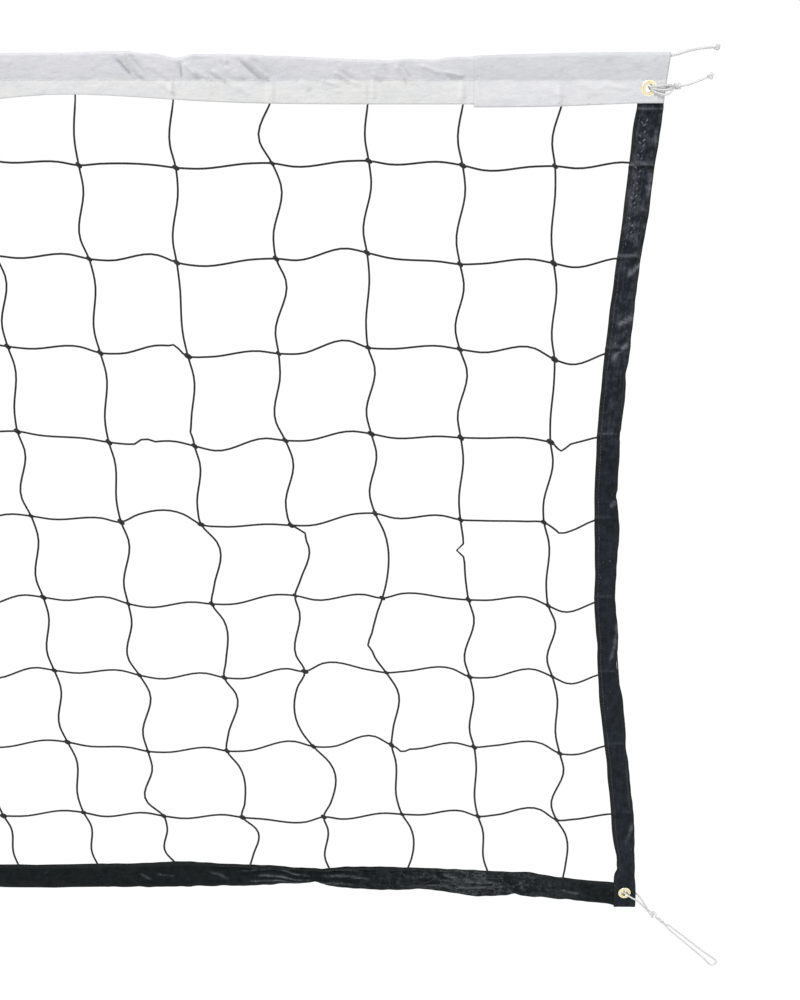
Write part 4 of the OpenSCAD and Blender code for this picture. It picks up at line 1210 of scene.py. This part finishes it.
def knot_lumps():
    """The shape of a knot at each crossing, all in one: an egg that lies down to the right, with one
    turn of twine, a ring, over it."""
    random = np.random.default_rng(8)
    x = knot_x[1:ROWS, 1:COLUMNS].ravel()
    z = knot_z[1:ROWS, 1:COLUMNS].ravel()
    n = len(x)
    rings, sides, turns, ply = 6, 8, 8, 5
    lat = np.linspace(0, np.pi, rings)[:, None]
    lon = 2 * np.pi * np.arange(sides) / sides
    egg = np.stack([np.cos(lat) + 0 * lon, np.sin(lat) * np.cos(lon), np.sin(lat) * np.sin(lon)], 2)
    ring_at = 2 * np.pi * np.arange(turns)[:, None] / turns
    ring_round = 2 * np.pi * np.arange(ply) / ply
    r = 1.9 + 0.8 * np.cos(ring_round)
    loop = np.stack([0.8 * np.sin(ring_round) + 0 * ring_at, r * np.cos(ring_at), r * np.sin(ring_at)], 2)
    size = random.normal(1.28, 0.13, (n, 1)) * MM
    turn = np.radians(-38 + random.normal(0, 9, n))
    loop_turn = turn + np.radians(65 + random.normal(0, 8, n))

    def placed(shape, scale, angle):
        """The shape at each knot, turned by its angle."""
        p = shape.reshape(-1, 3)[None] * np.array(scale) * size[..., None]
        c, s = np.cos(angle)[:, None], np.sin(angle)[:, None]
        return np.stack([x[:, None] + p[..., 0] * c - p[..., 2] * s, p[..., 1],
                         z[:, None] + p[..., 0] * s + p[..., 2] * c], 2).reshape(-1, 3)

    points = np.concatenate([placed(egg, (3.5, 2.2, 2.1), turn), placed(loop, (1, 1, 1), loop_turn)])
    quads, place = grid_quads(rings, sides, round_cols=True)
    # the ring closes: its last points are its first
    loop_quads, loop_place = grid_quads(turns + 1, ply, round_cols=True)
    loop_quads = loop_quads % (turns * ply)
    start = np.arange(n)[:, None, None]
    faces = [(quads[None] + start * rings * sides).reshape(-1, 4)[:, ::-1],
             (loop_quads[None] + (start * turns * ply + n * rings * sides)).reshape(-1, 4)]
    uv = [np.broadcast_to(p * [1.2 * MM, 0.125], (n,) + p.shape).reshape(-1, 4, 2)
          for p in (place[:, ::-1], loop_place)]
    return points, faces, uv


settle(new_piece("twine_knots", knot_lumps(), twine_cord), "net", "twine")


# ---- stitches ----


def stitches(name, found, length, thick, material, slot, node, mirror=False):
    """Stitches as short half-sunk barrels. found is (n, 3) arrays of their middles, their directions
    and the cloth's outward side. length and thick are in millimetres."""
    at, along, out = found[0], unit(found[1]), unit(found[2])
    wide = np.cross(along, out)
    # each barrel is four rings of five points: its ends are narrower than its middle
    step = np.array([-0.5, -0.3, 0.3, 0.5])
    swell = np.array([0.45, 1, 1, 0.45])
    rings, sides = len(step), 5
    a = 2 * np.pi * np.arange(sides) / sides
    ring = (at[:, None, None] + length * MM * step[:, None, None] * along[:, None, None]
            + thick * MM / 2 * swell[:, None, None] * (np.cos(a)[:, None] * wide[:, None, None]
                                                       + np.sin(a)[:, None] * out[:, None, None]))
    quads, _ = grid_quads(rings, sides, round_cols=True)
    fan = np.array([[0, 1, 2], [0, 2, 3], [0, 3, 4]])
    caps = np.concatenate([fan[:, ::-1], fan + (rings - 1) * sides])
    start = np.arange(len(at))[:, None, None] * rings * sides
    faces = [(quads[None] + start).reshape(-1, 4), (caps[None] + start).reshape(-1, 3)]
    settle(new_piece(name, (ring, faces, None), material, mirror), "net", slot, node)


def on_grid(grid, thickness, row_at, col_at):
    """Points on the outside of a folded sheet, at fractional rows and columns of its grid: their
    places, the direction from row to row there, and the outward side."""
    row_at, col_at = np.broadcast_arrays(row_at, col_at)
    normal = unit(np.cross(np.gradient(grid, axis=0), np.gradient(grid, axis=1)))
    i = np.clip(np.floor(row_at).astype(int), 0, grid.shape[0] - 2)
    j = np.clip(np.floor(col_at).astype(int), 0, grid.shape[1] - 2)
    u, v = (row_at - i)[:, None], (col_at - j)[:, None]

    def at(g):
        """Values of g there, each from the four points of the grid round it."""
        return (g[i, j] * (1 - u) * (1 - v) + g[i + 1, j] * u * (1 - v)
                + g[i, j + 1] * (1 - u) * v + g[i + 1, j + 1] * u * v)

    side = at(normal)
    return at(grid) + side * thickness / 2, grid[i + 1, j] - grid[i, j], side


def joined(found):
    """Several lots of places, directions and sides as one."""
    return [np.concatenate(lot) for lot in zip(*found)]


def row_stitches(grid, thickness, places, columns, pitch):
    """Stitches from row to row of a sheet, at each of columns, evenly spaced between two distances
    from its ends."""
    found = []
    for column in columns:
        far = distances(grid[:, int(column)])
        at = np.arange(places[0], far[-1] - places[1], pitch)
        found.append(on_grid(grid, thickness, np.interp(at, far, np.arange(len(far))), column))
    return joined(found)


def column_stitches(grid, thickness, row_at, front, back, pitch):
    """Stitches across a sheet at one row, between two columns of its front and two of its back."""
    i, last = int(row_at), grid.shape[1] - 1
    far = distances(grid[i])
    found = []
    for start, end in (front, back):
        at = np.interp(np.arange(far[start], far[end], pitch), far, np.arange(last + 1))
        point, _, out = on_grid(grid, thickness, row_at, at)
        j = np.minimum(at.astype(int), last - 1)
        found.append((point, grid[i, j + 1] - grid[i, j], out))
    return joined(found)


def both_layers(grid, column):
    """A column of a folded sheet's front, and the one behind it, counted from the other end."""
    return column, grid.shape[1] - 1 - column


found = row_stitches(band, VINYL, (0.2, 0.2), (FRONT_LOW, band.shape[1] - BACK_LOW - 1), 4.2 * MM)
stitches("headband_stitches", found, 3.0, 0.7, pale_thread, "pale_thread", "headband_stitching")
found = row_stitches(bottom_tape, WEBBING, (0.03, 0.03), both_layers(bottom_tape, 16.8), 4 * MM)
stitches("bottom_stitches", found, 3.0, 0.8, dark_thread, "dark_thread", "bottom_stitching")

PATCH_ROW = 2.4                           # where a patch's stitches cross it
for name, side in ENDS:
    found = column_stitches(patch, VINYL, PATCH_ROW, (2, FRONT_LOW + FRONT_HIGH - 4),
                            (-BACK_LOW - BACK_HIGH + 1, -2), 3.6 * MM)
    stitches(f"patch_stitches_{name}", found, 2.6, 0.7, pale_thread, "pale_thread",
             f"patch_stitching_{name}", mirror=side < 0)
    found = row_stitches(side_tape, WEBBING, (0.034, 0.05), both_layers(side_tape, 2.4), 4 * MM)
    stitches(f"side_stitches_{name}", found, 3.0, 0.8, dark_thread, "dark_thread",
             f"side_stitching_{name}", mirror=side < 0)
    # a worn zigzag down the middle of its upper part: three stitches in ten are gone
    left = row_stitches(side_tape, WEBBING, (0.034, 0.88), both_layers(side_tape, 4.0), 6.6 * MM)
    right = row_stitches(side_tape, WEBBING, (0.0373, 0.88), both_layers(side_tape, 6.2), 6.6 * MM)
    at, along, out = joined((left, right))
    along = unit(along)
    along[:, 0] += np.repeat((0.9, -0.9), (len(left[0]), len(right[0])))
    random = np.random.default_rng(40)
    kept = random.random(len(at)) < 0.7
    at[:, [0, 2]] += random.normal(0, 0.6 * MM, (len(at), 2))
    stitches(f"side_zigzag_{name}", (at[kept], along[kept], out[kept]), 3.6, 1.7, worn_thread,
             "dark_thread", f"side_stitching_{name}", mirror=side < 0)


# ---- eyelets ----


def eyelet(name, at, node, mirror):
    """A profile turned about Y: a bright domed flange in front, a barrel, and a lip behind. The
    flanges' inner sides are grip from the net's plane."""
    grip, steps = 2.3, 72
    front = -grip
    profile = np.array([
        [4.0, grip + 0.9], [4.0, 0], [4.05, front - 0.25], [4.25, front - 0.62], [4.7, front - 0.84],
        [5.3, front - 0.9], [5.8, front - 0.72], [6.1, front - 0.60], [6.5, front - 0.72],
        [7.1, front - 0.74], [7.7, front - 0.58], [8.1, front - 0.32], [8.2, front - 0.14],
        [8.1, front - 0.02], [6.0, front], [4.65, front + 0.1], [4.6, 0], [4.6, grip + 0.55],
        [5.2, grip + 0.56], [6.1, grip + 0.6], [6.2, grip + 0.8], [5.7, grip + 1.06], [4.7, grip + 1.1],
        [4.2, grip + 1.05],
    ]) * MM
    a = 2 * np.pi * np.arange(steps) / steps
    r, y = profile[:, :1], profile[:, 1:]
    ring = np.stack([at[0] + r * np.cos(a), y + 0 * a, at[2] + r * np.sin(a)], 2)
    quads, corner = grid_quads(len(profile) + 1, steps, round_cols=True)
    uv = corner[..., ::-1] / [steps, len(profile)]
    piece = new_piece(name, (ring, [quads % (len(profile) * steps)], [uv]), brass, mirror)
    settle(piece, "net", "brass", node)


for name, side in ENDS:
    for level, at in (("top", TOP_EYELET), ("bottom", BOTTOM_EYELET)):
        eyelet(f"brass_eyelet_{level}_{name}", at, f"eyelet_{level}_{name}", side < 0)
        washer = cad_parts[f"washer_{level}_{name}"]
        washer.data.materials.clear()
        washer.data.materials.append(washer_brass)


# ---- floor, lamps and surroundings ----

floor_mesh = bpy.data.meshes.new("floor")
corners = [(-30, -30, -1.5), (30, -30, -1.5), (30, 30, -1.5), (-30, 30, -1.5)]
floor_mesh.from_pydata(corners, [], [(0, 1, 2, 3)])
floor = bpy.data.objects.new("floor", floor_mesh)
bpy.context.scene.collection.objects.link(floor)


def seen_rays(nodes):
    """A socket that is 1 where the camera looks straight at a surface, or in a mirror or glass."""
    path = nodes.add("ShaderNodeLightPath")
    mirrored = nodes.maths("MAXIMUM", path.outputs["Is Camera Ray"], path.outputs["Is Glossy Ray"])
    return nodes.maths("MAXIMUM", mirrored, path.outputs["Is Transmission Ray"])


floor_paint = Finish("floor_paint", Roughness=0.9)
floor_paint.shader.inputs["Base Color"].default_value = (0.85, 0.85, 0.85, 1)
glow = floor_paint.add("ShaderNodeEmission", Strength=1.1).outputs["Emission"]
share = floor_paint.maths("MULTIPLY", seen_rays(floor_paint), 0.75)
mixed = floor_paint.add("ShaderNodeMixShader", {0: share, 1: floor_paint.shader.outputs["BSDF"], 2: glow})
surface = floor_paint.tree.nodes["Material Output"].inputs["Surface"]
floor_paint.tree.links.new(mixed.outputs["Shader"], surface)
floor_mesh.materials.append(floor_paint.material)

world = bpy.data.worlds.new("surroundings")
world.use_nodes = True
bpy.context.scene.world = world
sky = Nodes(world.node_tree)
background = sky.tree.nodes["Background"]
background.inputs["Color"].default_value = (1, 1, 1, 1)
level = sky.add("ShaderNodeMapRange", {"Value": seen_rays(sky)}, To_Min=0.45, To_Max=1)
sky.tree.links.new(level.outputs["Result"], background.inputs["Strength"])

for name, strength, spread, turn in (("key", 2.1, 20, (42, 0, -40)), ("fill", 0.3, 50, (62, 0, 50))):
    lamp = bpy.data.lights.new(name, "SUN")
    lamp.energy = strength
    lamp.angle = math.radians(spread)
    lamp_object = bpy.data.objects.new(name, lamp)
    lamp_object.rotation_euler = [math.radians(d) for d in turn]
    bpy.context.scene.collection.objects.link(lamp_object)

bpy.context.scene.view_settings.view_transform = "Standard"
